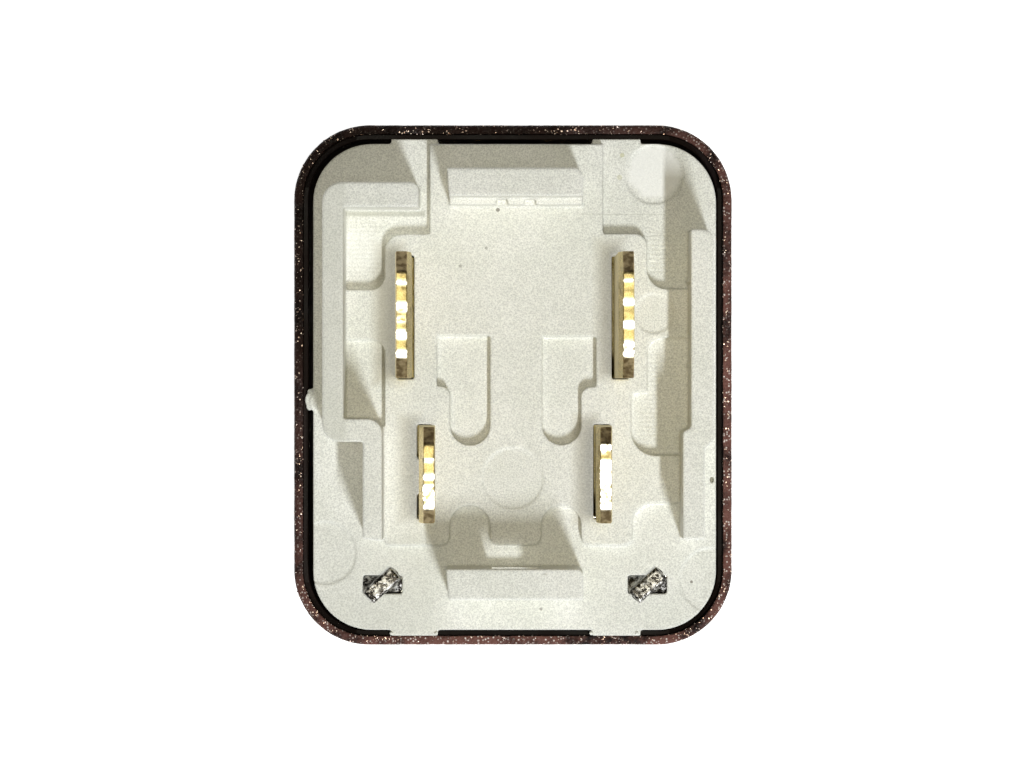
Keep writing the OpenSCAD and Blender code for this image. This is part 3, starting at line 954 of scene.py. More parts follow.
@dataclass(frozen=True)
class RoughRimMoulding(MouldedFinish):
    """Dark moulded plastic with a broken rim, lightened by painted light and strewn with painted
    glints.
    """

    rim_low: float = 21.15
    painted_rim_light: Colour = (0.17, 0.075, 0.06)
    painted_glint: Colour = (0.80, 0.70, 0.64)

    def details(self, w: TreeWriter, shelf: EffectShelf, at: Any, colour: Any,
                height: Any) -> tuple[Any, Any]:
        """Paint light on the rim, more towards the side lamp, and scatter painted glints on it.

        Args:
            w: Writer of the material.
            shelf: The shared effects.
            at: Object coordinates.
            colour: Colour so far.
            height: Relief so far.

        Returns:
            The colour and the relief.
        """
        rim = shelf.place(w, "zone", {
            "Vector": at, "Low": (-0.05, -0.05, self.rim_low * MM), "High": (0.05, 0.05, 0.05),
            "Border": 0.2 * MM}).outputs["Mask"]
        # Painted light: the rim is made lighter towards +X and -Y, the side that the side lamp
        # lights, and darker towards -X and +Y; the factor called rubbed is this lit side, not wear.
        side = w.add("ShaderNodeVectorMath", {"operation": "DOT_PRODUCT"},
                     {0: at, 1: (0.62, -0.62, 0.0)}).outputs["Value"]
        rubbed = w.remap(side, -9 * MM, 5 * MM, 0.12, 1.0)
        patch = w.math("MULTIPLY", rubbed, w.remap(
            w.noise(at, per_metre(1.5), 4.0, 0.65), 0.30, 0.60))
        colour = w.blend(w.math("MULTIPLY", rim, w.math("MULTIPLY", patch, 0.9)), colour,
                         self.painted_rim_light)
        grains = shelf.place(w, "painted_glint", {"Vector": at, "Scale": per_metre(0.13), "Share": 0.34})
        bright = w.math("MULTIPLY", w.math("MULTIPLY", grains.outputs["Mask"], rim),
                        w.remap(patch, 0.0, 1.0, 0.06, 0.95))
        # Painted glints: bright grains lighten the rim's colour, more on the lit side.
        colour = w.blend(bright, colour, self.painted_glint)
        relief = w.math("MULTIPLY", grains.outputs["Height"], w.math("MULTIPLY", rim, 3.0))
        return MouldedFinish.details(self, w, shelf, at, colour, w.math("ADD", height, relief))


@dataclass(frozen=True)
class MetalFinish:
    """Sheet, wire or turned metal with drawn marks, tarnish and rubbed edges."""

    name: str
    light: Colour
    dark: Colour
    tarnish: Colour
    roughness: tuple[float, float] = (0.22, 0.4)
    stretch: Point = (1.0, 1.0, 0.12)
    mark_size: float = 0.06
    tarnish_size: float = 1.6
    tarnish_share: float = 0.5
    relief: float = 0.006
    rubbed: Colour | None = None
    coat: float = 0.0

    def build(self, shelf: EffectShelf) -> bpy.types.Material:
        """Build the material.

        Args:
            shelf: The shared effects.

        Returns:
            The material.
        """
        material, w, shader, at = start_material(self.name)
        drawn = shelf.place(w, "drawn", {"Vector": at, "Stretch": self.stretch,
                                         "Scale": per_metre(self.mark_size)})
        colour = w.blend(drawn.outputs["Mask"], self.dark, self.light)
        cloud = w.remap(w.noise(at, per_metre(self.tarnish_size), 4.0, 0.6), 0.48, 0.72)
        stain = w.math("MULTIPLY", cloud, self.tarnish_share)
        colour = w.blend(stain, colour, self.tarnish)
        if self.rubbed:
            wear = shelf.place(w, "wear", {"Vector": at, "Amount": 0.8})
            colour = w.blend(wear.outputs["Mask"], colour, self.rubbed)
        colour, height = self.details(w, shelf, at, colour, drawn.outputs["Height"])
        w.fill(shader.inputs["Base Color"], colour)
        rough = w.math("ADD", drawn.outputs["Mask"], stain)
        w.fill(shader.inputs["Roughness"], w.remap(rough, 0.0, 1.3, *self.roughness))
        shader.inputs["Metallic"].default_value = 1.0
        shader.inputs["Coat Weight"].default_value = self.coat
        bump = w.add("ShaderNodeBump", None, {"Strength": 1.0, "Distance": self.relief * MM,
                                              "Height": height})
        w.fill(shader.inputs["Normal"], self.facing(w, at, bump.outputs[0]))
        return material

    def facing(self, w: TreeWriter, at: Any, normal: Any) -> Any:
        """Turn the normals where this finish needs it: here nowhere.

        Args:
            w: Writer of the material.
            at: Object coordinates.
            normal: Normal so far.

        Returns:
            The normal.
        """
        return normal

    def details(self, w: TreeWriter, shelf: EffectShelf, at: Any, colour: Any,
                height: Any) -> tuple[Any, Any]:
        """Add what only this finish has: here nothing.

        Args:
            w: Writer of the material.
            shelf: The shared effects.
            at: Object coordinates.
            colour: Colour so far.
            height: Relief so far.

        Returns:
            The colour and the relief.
        """
        return colour, height


@dataclass(frozen=True)
class BladeMetal(MetalFinish):
    """Blade brass: painted shade, dull brown, on the tip's cut corners, and painted highlights in
    spots on the land.
    """

    painted_corner_shade: Colour = (0.13, 0.09, 0.04)
    painted_corner_shade_pale: Colour = (0.36, 0.28, 0.15)
    painted_highlight: Colour = (1.0, 0.94, 0.76)
    highlight_way: Point = (0.12, -0.30, 0.94)

    @staticmethod
    def wear_and_highlight(w: TreeWriter, at: Any) -> Any:
        """Mask of the painted highlight spots, with uneven borders."""
        bright = w.add("ShaderNodeAttribute", {"attribute_name": HIGHLIGHT_MASK}).outputs["Fac"]
        return w.math("MULTIPLY", bright, w.remap(w.noise(at, per_metre(0.35), 2.0), 0.22, 0.5))

    def facing(self, w: TreeWriter, at: Any, normal: Any) -> Any:
        """Tilt the highlight spots one fixed way, half-way between the side lamp and straight up.

        The lamp then shows in them from above. The tilt is chosen for that look.

        Args:
            w: Writer of the material.
            at: Object coordinates.
            normal: Normal so far.

        Returns:
            The normal.
        """
        away = w.vector("SUBTRACT", self.highlight_way, normal)
        part = w.add("ShaderNodeVectorMath", {"operation": "SCALE"},
                     {0: away, "Scale": self.wear_and_highlight(w, at)}).outputs[0]
        return w.vector("NORMALIZE", w.vector("ADD", normal, part))

    def details(self, w: TreeWriter, shelf: EffectShelf, at: Any, colour: Any,
                height: Any) -> tuple[Any, Any]:
        """Paint shade on the cut corners and paint highlights on the spots of the land.

        Args:
            w: Writer of the material.
            shelf: The shared effects.
            at: Object coordinates.
            colour: Colour so far.
            height: Relief so far.

        Returns:
            The colour and the relief.
        """
        cut = w.add("ShaderNodeAttribute", {"attribute_name": CUT_MASK}).outputs["Fac"]
        patch = w.remap(w.noise(at, per_metre(0.35), 3.0), 0.35, 0.65)
        # Painted shade: the tip's cut corners are darkened to dull brown.
        colour = w.blend(cut, colour, w.blend(patch, self.painted_corner_shade, self.painted_corner_shade_pale))
        # Painted highlight: the spots on the land are lightened towards near white.
        return w.blend(self.wear_and_highlight(w, at), colour, self.painted_highlight), height


class Finishes:
    """Every finish of the relay, built once."""

    def __init__(self) -> None:
        """Build the effects and the materials."""
        shelf = EffectShelf()
        floor_z, plateau_z = 21.55, 22.1
        speck, shade_tint, pale = (0.16, 0.14, 0.11), (0.50, 0.50, 0.42), (0.99, 0.985, 0.95)
        moss, dark_line_and_painted_shade, painted_blade_shadow = (0.52, 0.50, 0.22), (0.33, 0.33, 0.26), (0.44, 0.39, 0.27)
        self.cream = MilledMoulding(
            "cream_moulding", (0.86, 0.85, 0.79), (0.77, 0.77, 0.70), 0.46, 0.075, 0.02,
            floors=(((-8.8, 5.0, floor_z - 0.1), (-6.5, 8.9, floor_z + 0.1)),
                    ((6.5, 5.0, floor_z - 0.1), (9.2, 8.0, floor_z + 0.1)),
                    ((6.5, -3.7, floor_z - 0.1), (9.2, 2.5, floor_z + 0.1))),
            patches=(Patch((3.4, 8.80, 21.0), (7.9, 8.86, 23.0), dark_line_and_painted_shade),
                     Patch((9.3, -8.72, 21.0), (10.4, -8.66, 23.0), dark_line_and_painted_shade),
                     # Painted shade: a dark band under the left rail's top arm.
                     Patch((-8.8, 8.68, 21.0), (-4.5, 9.06, 21.9), dark_line_and_painted_shade, 0.55, 0.10),
                     # Painted shade: the left rail's top and the lower left corner are darkened.
                     Patch((-10.0, -8.4, 24.5), (-8.3, 10.9, 26.5), shade_tint, 0.32, 0.4),
                     Patch((-11.0, -14.0, 20.0), (-3.0, -6.5, 24.5), shade_tint, 0.30, 2.0),
                     # Painted shadows: brown shade beside each of the four blades, where their
                     # shadows fall.
                     Patch((-7.5, -0.2, 21.0), (-5.4, 7.6, 23.0), painted_blade_shadow, 0.62, 0.7),
                     Patch((4.0, 0.0, 21.0), (5.9, 7.8, 23.0), painted_blade_shadow, 0.50, 0.7),
                     Patch((-6.2, -7.3, 21.0), (-4.6, -1.3, 23.0), painted_blade_shadow, 0.35, 0.6),
                     Patch((2.9, -7.4, 21.0), (4.6, -1.3, 23.0), painted_blade_shadow, 0.45, 0.6)),
            spots=(Spot(-0.78, 9.05, plateau_z, 0.12, speck),
                   Spot(-2.72, 6.15, plateau_z, 0.10, speck, 0.5),
                   Spot(-1.38, 7.08, plateau_z, 0.09, speck, 0.5),
                   Spot(1.45, -11.6, floor_z, 0.09, speck, 0.6),
                   Spot(9.25, -10.2, floor_z, 0.11, speck),
                   Spot(7.36, 11.04, floor_z, 1.55, pale, 0.75),
                   # Painted light: a soft round spot makes the left recess floor paler.
                   Spot(-7.9, 7.0, floor_z, 1.5, pale, 0.35, 0.6),
                   Spot(5.66, 11.9, floor_z, 0.13, moss, 0.5),
                   Spot(5.52, 10.75, floor_z, 0.16, moss, 0.3))).build(shelf)
        self.brown = RoughRimMoulding(
            "brown_moulding", (0.020, 0.011, 0.009), (0.008, 0.0045, 0.004), 0.5, 0.12, 0.015,
            drift=3.0, wear_and_highlight=(0.06, 0.04, 0.033), gloss=0.12).build(shelf)
        self.grain_glass = MetalFinish(
            "rim_grain", (0.80, 0.70, 0.62), (0.35, 0.22, 0.17), (0.12, 0.07, 0.05),
            (0.25, 0.5), (1, 1, 1), 0.05, 0.8, 0.6).build(shelf)
        self.brass = BladeMetal(
            "blade_brass", (0.70, 0.58, 0.28), (0.46, 0.36, 0.14), (0.17, 0.12, 0.035),
            (0.40, 0.52), (1.0, 1.0, 0.14), 0.07, 0.5, 0.65, 0.008,
            (0.80, 0.70, 0.42)).build(shelf)
        self.plated = MetalFinish(
            "plated_steel", (0.62, 0.61, 0.58), (0.50, 0.49, 0.46), (0.30, 0.28, 0.25),
            (0.26, 0.42), (1.0, 1.0, 1.0), 0.3, 2.0, 0.45, 0.004,
            (0.75, 0.74, 0.71)).build(shelf)
        self.tab_steel = MetalFinish(
            "tab_steel", (0.62, 0.60, 0.56), (0.05, 0.045, 0.04), (0.03, 0.026, 0.02),
            (0.26, 0.5), (1.0, 1.0, 1.0), 0.2, 0.45, 0.75, 0.05,
            (0.8, 0.78, 0.74)).build(shelf)
        self.iron = MetalFinish(
            "soft_iron", (0.60, 0.60, 0.61), (0.46, 0.46, 0.47), (0.30, 0.27, 0.24),
            (0.30, 0.5), (0.1, 1.0, 1.0), 0.08, 2.0, 0.4, 0.006,
            (0.72, 0.72, 0.73)).build(shelf)
        self.bobbin = MouldedFinish(
            "bobbin_moulding", (0.055, 0.062, 0.070), (0.035, 0.040, 0.046), 0.42, 0.12, 0.008,
            wear_and_highlight=(0.12, 0.13, 0.14)).build(shelf)
        self.copper = MetalFinish(
            "enamelled_copper", (0.78, 0.34, 0.14), (0.62, 0.24, 0.09), (0.40, 0.14, 0.06),
            (0.18, 0.3), (1.0, 1.0, 1.0), 0.3, 2.5, 0.35, 0.002, coat=0.6).build(shelf)
        self.leaf = MetalFinish(
            "leaf_alloy", (0.86, 0.58, 0.36), (0.74, 0.46, 0.26), (0.46, 0.27, 0.15),
            (0.2, 0.36), (1.0, 0.08, 1.0), 0.05, 1.8, 0.35, 0.004,
            (0.95, 0.74, 0.52)).build(shelf)
        self.silver = MetalFinish(
            "contact_silver", (0.90, 0.89, 0.86), (0.78, 0.77, 0.74), (0.42, 0.38, 0.32),
            (0.16, 0.34), (1.0, 1.0, 1.0), 0.12, 0.9, 0.4, 0.004).build(shelf)
        self.coat = MouldedFinish(
            "resistor_coat", (0.62, 0.50, 0.34), (0.54, 0.43, 0.28), 0.35, 0.2, 0.006,
            drift=1.2).build(shelf)
        self.tinned = MetalFinish(
            "tinned_wire", (0.82, 0.82, 0.82), (0.68, 0.68, 0.68), (0.44, 0.43, 0.41),
            (0.24, 0.42), (1.0, 0.2, 1.0), 0.12, 1.0, 0.4, 0.006).build(shelf)


# ---------------------------------------------------------------- Geometry Nodes


class ShapeTrees:
    """The Geometry Nodes trees that make what repeats or follows a path or a rule."""

    @staticmethod
    def start(name: str, inputs: Mapping[str, tuple[str, Any]]
              ) -> tuple[TreeWriter, bpy.types.Node]:
        """Make an empty tree with a geometry input and output.

        Args:
            name: Name of the tree.
            inputs: Kind and default of each further input by name.

        Returns:
            The writer and the tree's input node.
        """
        tree = bpy.data.node_groups.new(name, "GeometryNodeTree")
        tree.interface.new_socket("Geometry", in_out="INPUT", socket_type="NodeSocketGeometry")
        tree.interface.new_socket("Geometry", in_out="OUTPUT", socket_type="NodeSocketGeometry")
        for label, (kind, default) in inputs.items():
            socket = tree.interface.new_socket(label, in_out="INPUT", socket_type=kind)
            if default is not None:
                socket.default_value = default
        writer = TreeWriter(tree)
        return writer, writer.add("NodeGroupInput")

    @staticmethod
    def end(writer: TreeWriter, geometry: Any, material: Any) -> bpy.types.NodeTree:
        """End a tree in Realize Instances and Set Material.

        Args:
            writer: The tree's writer.
            geometry: The geometry so far.
            material: The material socket.

        Returns:
            The tree.
        """
        real = writer.add("GeometryNodeRealizeInstances", None, {"Geometry": geometry})
        dressed = writer.add("GeometryNodeSetMaterial", None,
                             {"Geometry": real.outputs[0], "Material": material})
        result = writer.add("NodeGroupOutput")
        writer.fill(result.inputs[0], dressed.outputs[0])
        return writer.tree

    @staticmethod
    def run(obj: bpy.types.Object, tree: bpy.types.NodeTree,
            values: Mapping[str, Any]) -> bpy.types.Object:
        """Run a tree on an object and keep the plain mesh.

        Args:
            obj: The object that the tree starts from.
            tree: The tree.
            values: Values of its inputs by name.

        Returns:
            The same object with a plain mesh.
        """
        modifier = obj.modifiers.new(tree.name, "NODES")
        modifier.node_group = tree
        for item in tree.interface.items_tree:
            if item.in_out == "INPUT" and item.name in values:
                modifier[item.identifier] = values[item.name]
        return bake(obj)

    @classmethod
    def helix(cls) -> bpy.types.NodeTree:
        """Round wire wound in close turns about the Z axis of the tree."""
        w, source = cls.start("wound_wire", {
            "Turns": ("NodeSocketFloat", 10.0), "Radius": ("NodeSocketFloat", MM),
            "Height": ("NodeSocketFloat", MM), "Wire Radius": ("NodeSocketFloat", 0.1 * MM),
            "Steps": ("NodeSocketInt", 48), "Centre": ("NodeSocketVector", (0, 0, 0)),
            "Material": ("NodeSocketMaterial", None)})
        spiral = w.add("GeometryNodeCurveSpiral", None, {
            "Resolution": source.outputs["Steps"], "Rotations": source.outputs["Turns"],
            "Start Radius": source.outputs["Radius"], "End Radius": source.outputs["Radius"],
            "Height": source.outputs["Height"]})
        profile = w.add("GeometryNodeCurvePrimitiveCircle", {"mode": "RADIUS"},
                        {"Resolution": 8, "Radius": source.outputs["Wire Radius"]})
        wire = w.add("GeometryNodeCurveToMesh", None, {
            "Curve": spiral.outputs[0], "Profile Curve": profile.outputs[0], "Fill Caps": True})
        placed = w.add("GeometryNodeTransform", None, {
            "Geometry": wire.outputs[0], "Translation": source.outputs["Centre"]})
        both = w.add("GeometryNodeJoinGeometry")
        w.fill(both.inputs[0], source.outputs["Geometry"])
        w.fill(both.inputs[0], placed.outputs[0])
        smooth = w.add("GeometryNodeSetShadeSmooth", None, {"Geometry": both.outputs[0]})
        return cls.end(w, smooth.outputs[0], source.outputs["Material"])

    @classmethod
    def wire(cls) -> bpy.types.NodeTree:
        """Round wire along the edges of the start mesh, with its corners bent to a radius."""
        w, source = cls.start("bent_wire", {
            "Wire Radius": ("NodeSocketFloat", 0.1 * MM), "Bend Radius": ("NodeSocketFloat", MM),
            "Material": ("NodeSocketMaterial", None)})
        line = w.add("GeometryNodeMeshToCurve", None, {"Mesh": source.outputs["Geometry"]})
        bent = w.add("GeometryNodeFilletCurve", None, {
            "Curve": line.outputs[0], "Radius": source.outputs["Bend Radius"]})
        for socket in bent.inputs:
            if socket.name == "Mode":
                socket.default_value = "Poly"
            if socket.name == "Count":
                socket.default_value = 8
        if hasattr(bent, "mode"):
            bent.mode = "POLY"
        profile = w.add("GeometryNodeCurvePrimitiveCircle", {"mode": "RADIUS"},
                        {"Resolution": 14, "Radius": source.outputs["Wire Radius"]})
        tube = w.add("GeometryNodeCurveToMesh", None, {
            "Curve": bent.outputs[0], "Profile Curve": profile.outputs[0], "Fill Caps": True})
        smooth = w.add("GeometryNodeSetShadeSmooth", None, {"Geometry": tube.outputs[0]})
        return cls.end(w, smooth.outputs[0], source.outputs["Material"])

    @classmethod
    def heads(cls) -> bpy.types.NodeTree:
        """A domed rivet head at each point of the start mesh, joined to nothing."""
        w, source = cls.start("rivet_heads", {
            "Head Radius": ("NodeSocketFloat", MM), "Head Height": ("NodeSocketFloat", 0.3 * MM),
            "Turn": ("NodeSocketVector", (0, 0, 0)), "Seed": ("NodeSocketInt", 3),
            "Material": ("NodeSocketMaterial", None)})
        dome = w.add("GeometryNodeMeshUVSphere", None, {"Segments": 32, "Rings": 16, "Radius": 1.0})
        size = w.add("ShaderNodeCombineXYZ", None, {
            0: source.outputs["Head Radius"], 1: source.outputs["Head Radius"],
            2: source.outputs["Head Height"]})
        head = w.add("GeometryNodeTransform", None, {
            "Geometry": dome.outputs[0], "Scale": size.outputs[0]})
        vary = w.add("FunctionNodeRandomValue", {"data_type": "FLOAT"}, {
            2: 0.97, 3: 1.0, "Seed": source.outputs["Seed"]})
        set_out = w.add("GeometryNodeInstanceOnPoints", None, {
            "Points": source.outputs["Geometry"], "Instance": head.outputs[0],
            "Rotation": source.outputs["Turn"], "Scale": vary.outputs[1]})
        real = w.add("GeometryNodeRealizeInstances", None, {"Geometry": set_out.outputs[0]})
        smooth = w.add("GeometryNodeSetShadeSmooth", None, {"Geometry": real.outputs[0]})
        return cls.end(w, smooth.outputs[0], source.outputs["Material"])

    @classmethod
    def rim_grains(cls) -> bpy.types.NodeTree:
        """Tiny broken grains scattered on the faces above a height."""
        w, source = cls.start("rim_grains", {
            "From Height": ("NodeSocketFloat", 0.02), "Density": ("NodeSocketFloat", 1e7),
            "Grain Size": ("NodeSocketFloat", 0.03 * MM), "Seed": ("NodeSocketInt", 5),
            "Material": ("NodeSocketMaterial", None)})
        place = w.add("GeometryNodeInputPosition")
        height = w.add("ShaderNodeSeparateXYZ", None, {0: place.outputs[0]}).outputs[2]
        on_rim = w.add("FunctionNodeCompare", {"data_type": "FLOAT", "operation": "GREATER_THAN"}, {
            0: height, 1: source.outputs["From Height"]})
        points = w.add("GeometryNodeDistributePointsOnFaces", {"distribute_method": "RANDOM"}, {
            "Mesh": source.outputs["Geometry"], "Selection": on_rim.outputs[0],
            "Density": source.outputs["Density"], "Seed": source.outputs["Seed"]})
        grain = w.add("GeometryNodeMeshIcoSphere", None, {"Radius": 1.0, "Subdivisions": 1})
        size = w.add("FunctionNodeRandomValue", {"data_type": "FLOAT"}, {
            2: 0.5, 3: 1.2, "Seed": source.outputs["Seed"]})
        scaled = w.math("MULTIPLY", size.outputs[1], source.outputs["Grain Size"])
        turn = w.add("FunctionNodeRandomValue", {"data_type": "FLOAT_VECTOR"}, {
            0: (0.0, 0.0, 0.0), 1: (6.28, 6.28, 6.28), "Seed": source.outputs["Seed"]})
        grains = w.add("GeometryNodeInstanceOnPoints", None, {
            "Points": points.outputs[0], "Instance": grain.outputs[0],
            "Rotation": turn.outputs[0], "Scale": scaled})
        return cls.end(w, grains.outputs[0], source.outputs["Material"])

    @classmethod
    def twist(cls) -> bpy.types.NodeTree:
        """Turn a bar about an upright axis, by an angle that grows between two heights."""
        w, source = cls.start("twisted_tab", {
            "Centre": ("NodeSocketVector", (0, 0, 0)), "Angle": ("NodeSocketFloat", 0.7),
            "From Height": ("NodeSocketFloat", 0.0), "To Height": ("NodeSocketFloat", MM),
            "Material": ("NodeSocketMaterial", None)})
        place = w.add("GeometryNodeInputPosition").outputs[0]
        height = w.add("ShaderNodeSeparateXYZ", None, {0: place}).outputs[2]
        share = w.add("ShaderNodeMapRange", {"interpolation_type": "SMOOTHERSTEP"}, {
            "Value": height, "From Min": source.outputs["From Height"],
            "From Max": source.outputs["To Height"]}).outputs[0]
        angle = w.math("MULTIPLY", share, source.outputs["Angle"])
        turned_place = w.add("ShaderNodeVectorRotate", {"rotation_type": "AXIS_ANGLE"}, {
            "Vector": place, "Center": source.outputs["Centre"], "Axis": (0.0, 0.0, 1.0),
            "Angle": angle})
        moved = w.add("GeometryNodeSetPosition", None, {
            "Geometry": source.outputs["Geometry"], "Position": turned_place.outputs[0]})
        return cls.end(w, moved.outputs[0], source.outputs["Material"])


def points_mesh(name: str, points: Sequence[Point], linked: bool = False) -> bpy.types.Object:
    """Make an object of loose points, or of one line through them.

    Args:
        name: Name of the object.
        points: The points in millimetres.
        linked: True to join each point to the next.

    Returns:
        The new object.
    """
    mesh = bpy.data.meshes.new(name)
    edges = [(i, i + 1) for i in range(len(points) - 1)] if linked else []
    mesh.from_pydata([tuple(v * MM for v in p) for p in points], edges, [])
    return new_object(name, mesh)


# ---------------------------------------------------------------- the pieces


@dataclass
class SubAssembly:
    """What every sub-assembly needs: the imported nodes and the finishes."""

    nodes: Mapping[str, bpy.types.Object]
    finishes: Finishes

    def dress(self, obj: bpy.types.Object, material: bpy.types.Material | None, slot: Slot,
              body: Body = Body.FRAME, stands_for: Sequence[str] = ()) -> bpy.types.Object:
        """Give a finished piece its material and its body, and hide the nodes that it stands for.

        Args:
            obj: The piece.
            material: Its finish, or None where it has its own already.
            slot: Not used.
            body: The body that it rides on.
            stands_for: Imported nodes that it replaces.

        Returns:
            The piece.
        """
        if material:
            obj.data.materials.clear()
            obj.data.materials.append(material)
        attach(obj, body.value)
        if stands_for:
            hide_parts(*stands_for)
        LOG.info("%s: %d faces on %s", obj.name, len(obj.data.polygons), body.value)
        return obj

    def soft(self, node: str, name: str, width: float, material: bpy.types.Material, slot: Slot,
             body: Body = Body.FRAME) -> bpy.types.Object:
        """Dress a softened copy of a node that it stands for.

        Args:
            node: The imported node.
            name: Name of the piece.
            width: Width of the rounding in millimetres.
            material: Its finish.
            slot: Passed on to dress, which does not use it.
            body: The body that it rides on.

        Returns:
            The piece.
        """
        piece = shade(softened(self.nodes[node], name, width))
        return self.dress(piece, material, slot, body, (node,))


@dataclass
class CoverShell(SubAssembly):
    """The dark moulded cover: closed end, walls with snap windows, and a rough rim."""

    corner: float = 3.9
    end_edge: float = 1.0
    rim_edge: float = 0.22
    land: float = 0.45
    wall: float = 0.72
    step: float = 1.1
    end: float = 1.0
    panel_inset: float = 2.5
    panel_corner: float = 1.7
    panel_sink: float = 0.2
    window_x: tuple[float, float] = (-5.1, 5.35)
    window_half: float = 1.35
    window_z: tuple[float, float] = (16.4, 18.1)
    steps: tuple[int, int, int] = (120, 156, 44)

    def build(self) -> None:
        """Build the shell and its rim grains."""
        low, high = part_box("cover")
        half = ((high.x - low.x) / 2 / MM, (high.y - low.y) / 2 / MM)
        top = high.z / MM
        shell = loft("cover_shell", [
            rounded_ring((half[0] - inset, half[1] - inset), corner, z, self.steps)
            for inset, corner, z in self.rows(top)])
        self.roughen(shell, top)
        self.cut_windows(shell, half[1])
        shade(shell, 40)
        grains = new_object("rim_grains", shell.data.copy())
        self.dress(shell, self.finishes.brown, Slot.COVER, stands_for=("cover",))
        ShapeTrees.run(grains, ShapeTrees.rim_grains(), {
            "From Height": (top - 0.16) * MM, "Density": 14e6, "Grain Size": 0.045 * MM,
            "Seed": 11, "Material": self.finishes.grain_glass})
        for vertex in grains.data.vertices:
            vertex.co = Vector(min(max(v, least), most)
                               for v, least, most in zip(vertex.co, low, high))
        self.dress(grains, None, Slot.COVER)

    def rows(self, top: float) -> list[tuple[float, float, float]]:
        """Inset, corner radius and height of each ring, from the closed end round to the inside.

        Args:
            top: Height of the rim.

        Returns:
            The rows.
        """
        inset, edge = self.panel_inset, self.end_edge
        rows = [(inset + 0.06, self.panel_corner - 0.06, self.panel_sink),
                (inset + 0.01, self.panel_corner, self.panel_sink - 0.05),
                (inset, self.panel_corner, 0.03), (inset - 0.03, self.panel_corner + 0.03, 0.0),
                (edge, self.corner - edge, 0.0)]
        for i in range(1, 8):
            turn = math.radians(90 * i / 7)
            side = edge * (1 - math.sin(turn))
            rows.append((side, self.corner - side, edge * (1 - math.cos(turn))))
        shoulder = top - self.rim_edge
        rows += [(0.0, self.corner, z) for z in (4, 8, 12, 15, 17, 19, 20, 20.6, 21.0, shoulder)]
        for i in range(1, 5):
            turn = math.radians(90 * i / 4)
            side = self.rim_edge * (1 - math.cos(turn))
            rows.append((side, self.corner - side, shoulder + self.rim_edge * math.sin(turn)))
        land, wall = self.land, self.wall
        rows += [(side, self.corner - side, top) for side in (0.30, 0.36, land - 0.05)]
        rows += [(land - 0.015, self.corner - land, top - 0.02)]
        rows += [(land, self.corner - land, top - z) for z in (0.06, 0.2, 0.5, self.step - 0.03)]
        ledge = top - self.step
        rows += [(land + 0.03, self.corner - land, ledge), (wall - 0.04, self.corner - wall, ledge)]
        rows += [(wall, self.corner - wall, z) for z in (ledge - 0.04, 16.0, 10.0, 4.0, 1.5)]
        for i in range(1, 4):
            turn = math.radians(90 * i / 3)
            side = wall + 0.5 * (1 - math.cos(turn))
            rows.append((side, self.corner - side, self.end + 0.5 * (1 - math.sin(turn))))
        return rows

    def roughen(self, shell: bpy.types.Object, top: float) -> None:
        """Break the rim's land and edges, inwards and downwards only.

        Args:
            shell: The shell.
            top: Height of the rim.
        """
        for vertex in shell.data.vertices:
            rise = (vertex.co.z / MM - (top - 0.5)) / 0.5
            if rise <= 0:
                continue
            fine, coarse = jitter(vertex.co, 0.22, 3.1), jitter(vertex.co, 1.4, 8.7)
            flat = Vector((vertex.co.x, vertex.co.y, 0)).normalized()
            inward = (0.035 * abs(fine.x) + 0.03 * abs(coarse.x)) * min(rise, 1)
            drop = 0.05 * abs(fine.z) + 0.05 * abs(coarse.y)
            vertex.co -= flat * inward * MM
            vertex.co.z -= drop * MM * min(rise, 1)

    def cut_windows(self, shell: bpy.types.Object, half_y: float) -> None:
        """Cut the four snap windows.

        Args:
            shell: The shell.
            half_y: Half of its length.
        """
        bm = bmesh.new()
        for x in self.window_x:
            for side in (-1, 1):
                made = bmesh.ops.create_cube(bm, size=1.0)
                size = Vector((2 * self.window_half, 2.4, self.window_z[1] - self.window_z[0]))
                centre = Vector((x, side * half_y, sum(self.window_z) / 2))
                for vertex in made["verts"]:
                    vertex.co = (vertex.co * size + centre) * MM
        through = [e for e in bm.edges if abs((e.verts[0].co - e.verts[1].co).y) > 1e-4]
        bmesh.ops.bevel(bm, geom=through, offset=0.18 * MM, segments=3, profile=0.5,
                        affect="EDGES")
        carve(shell, from_bmesh("window_cutter", bm))


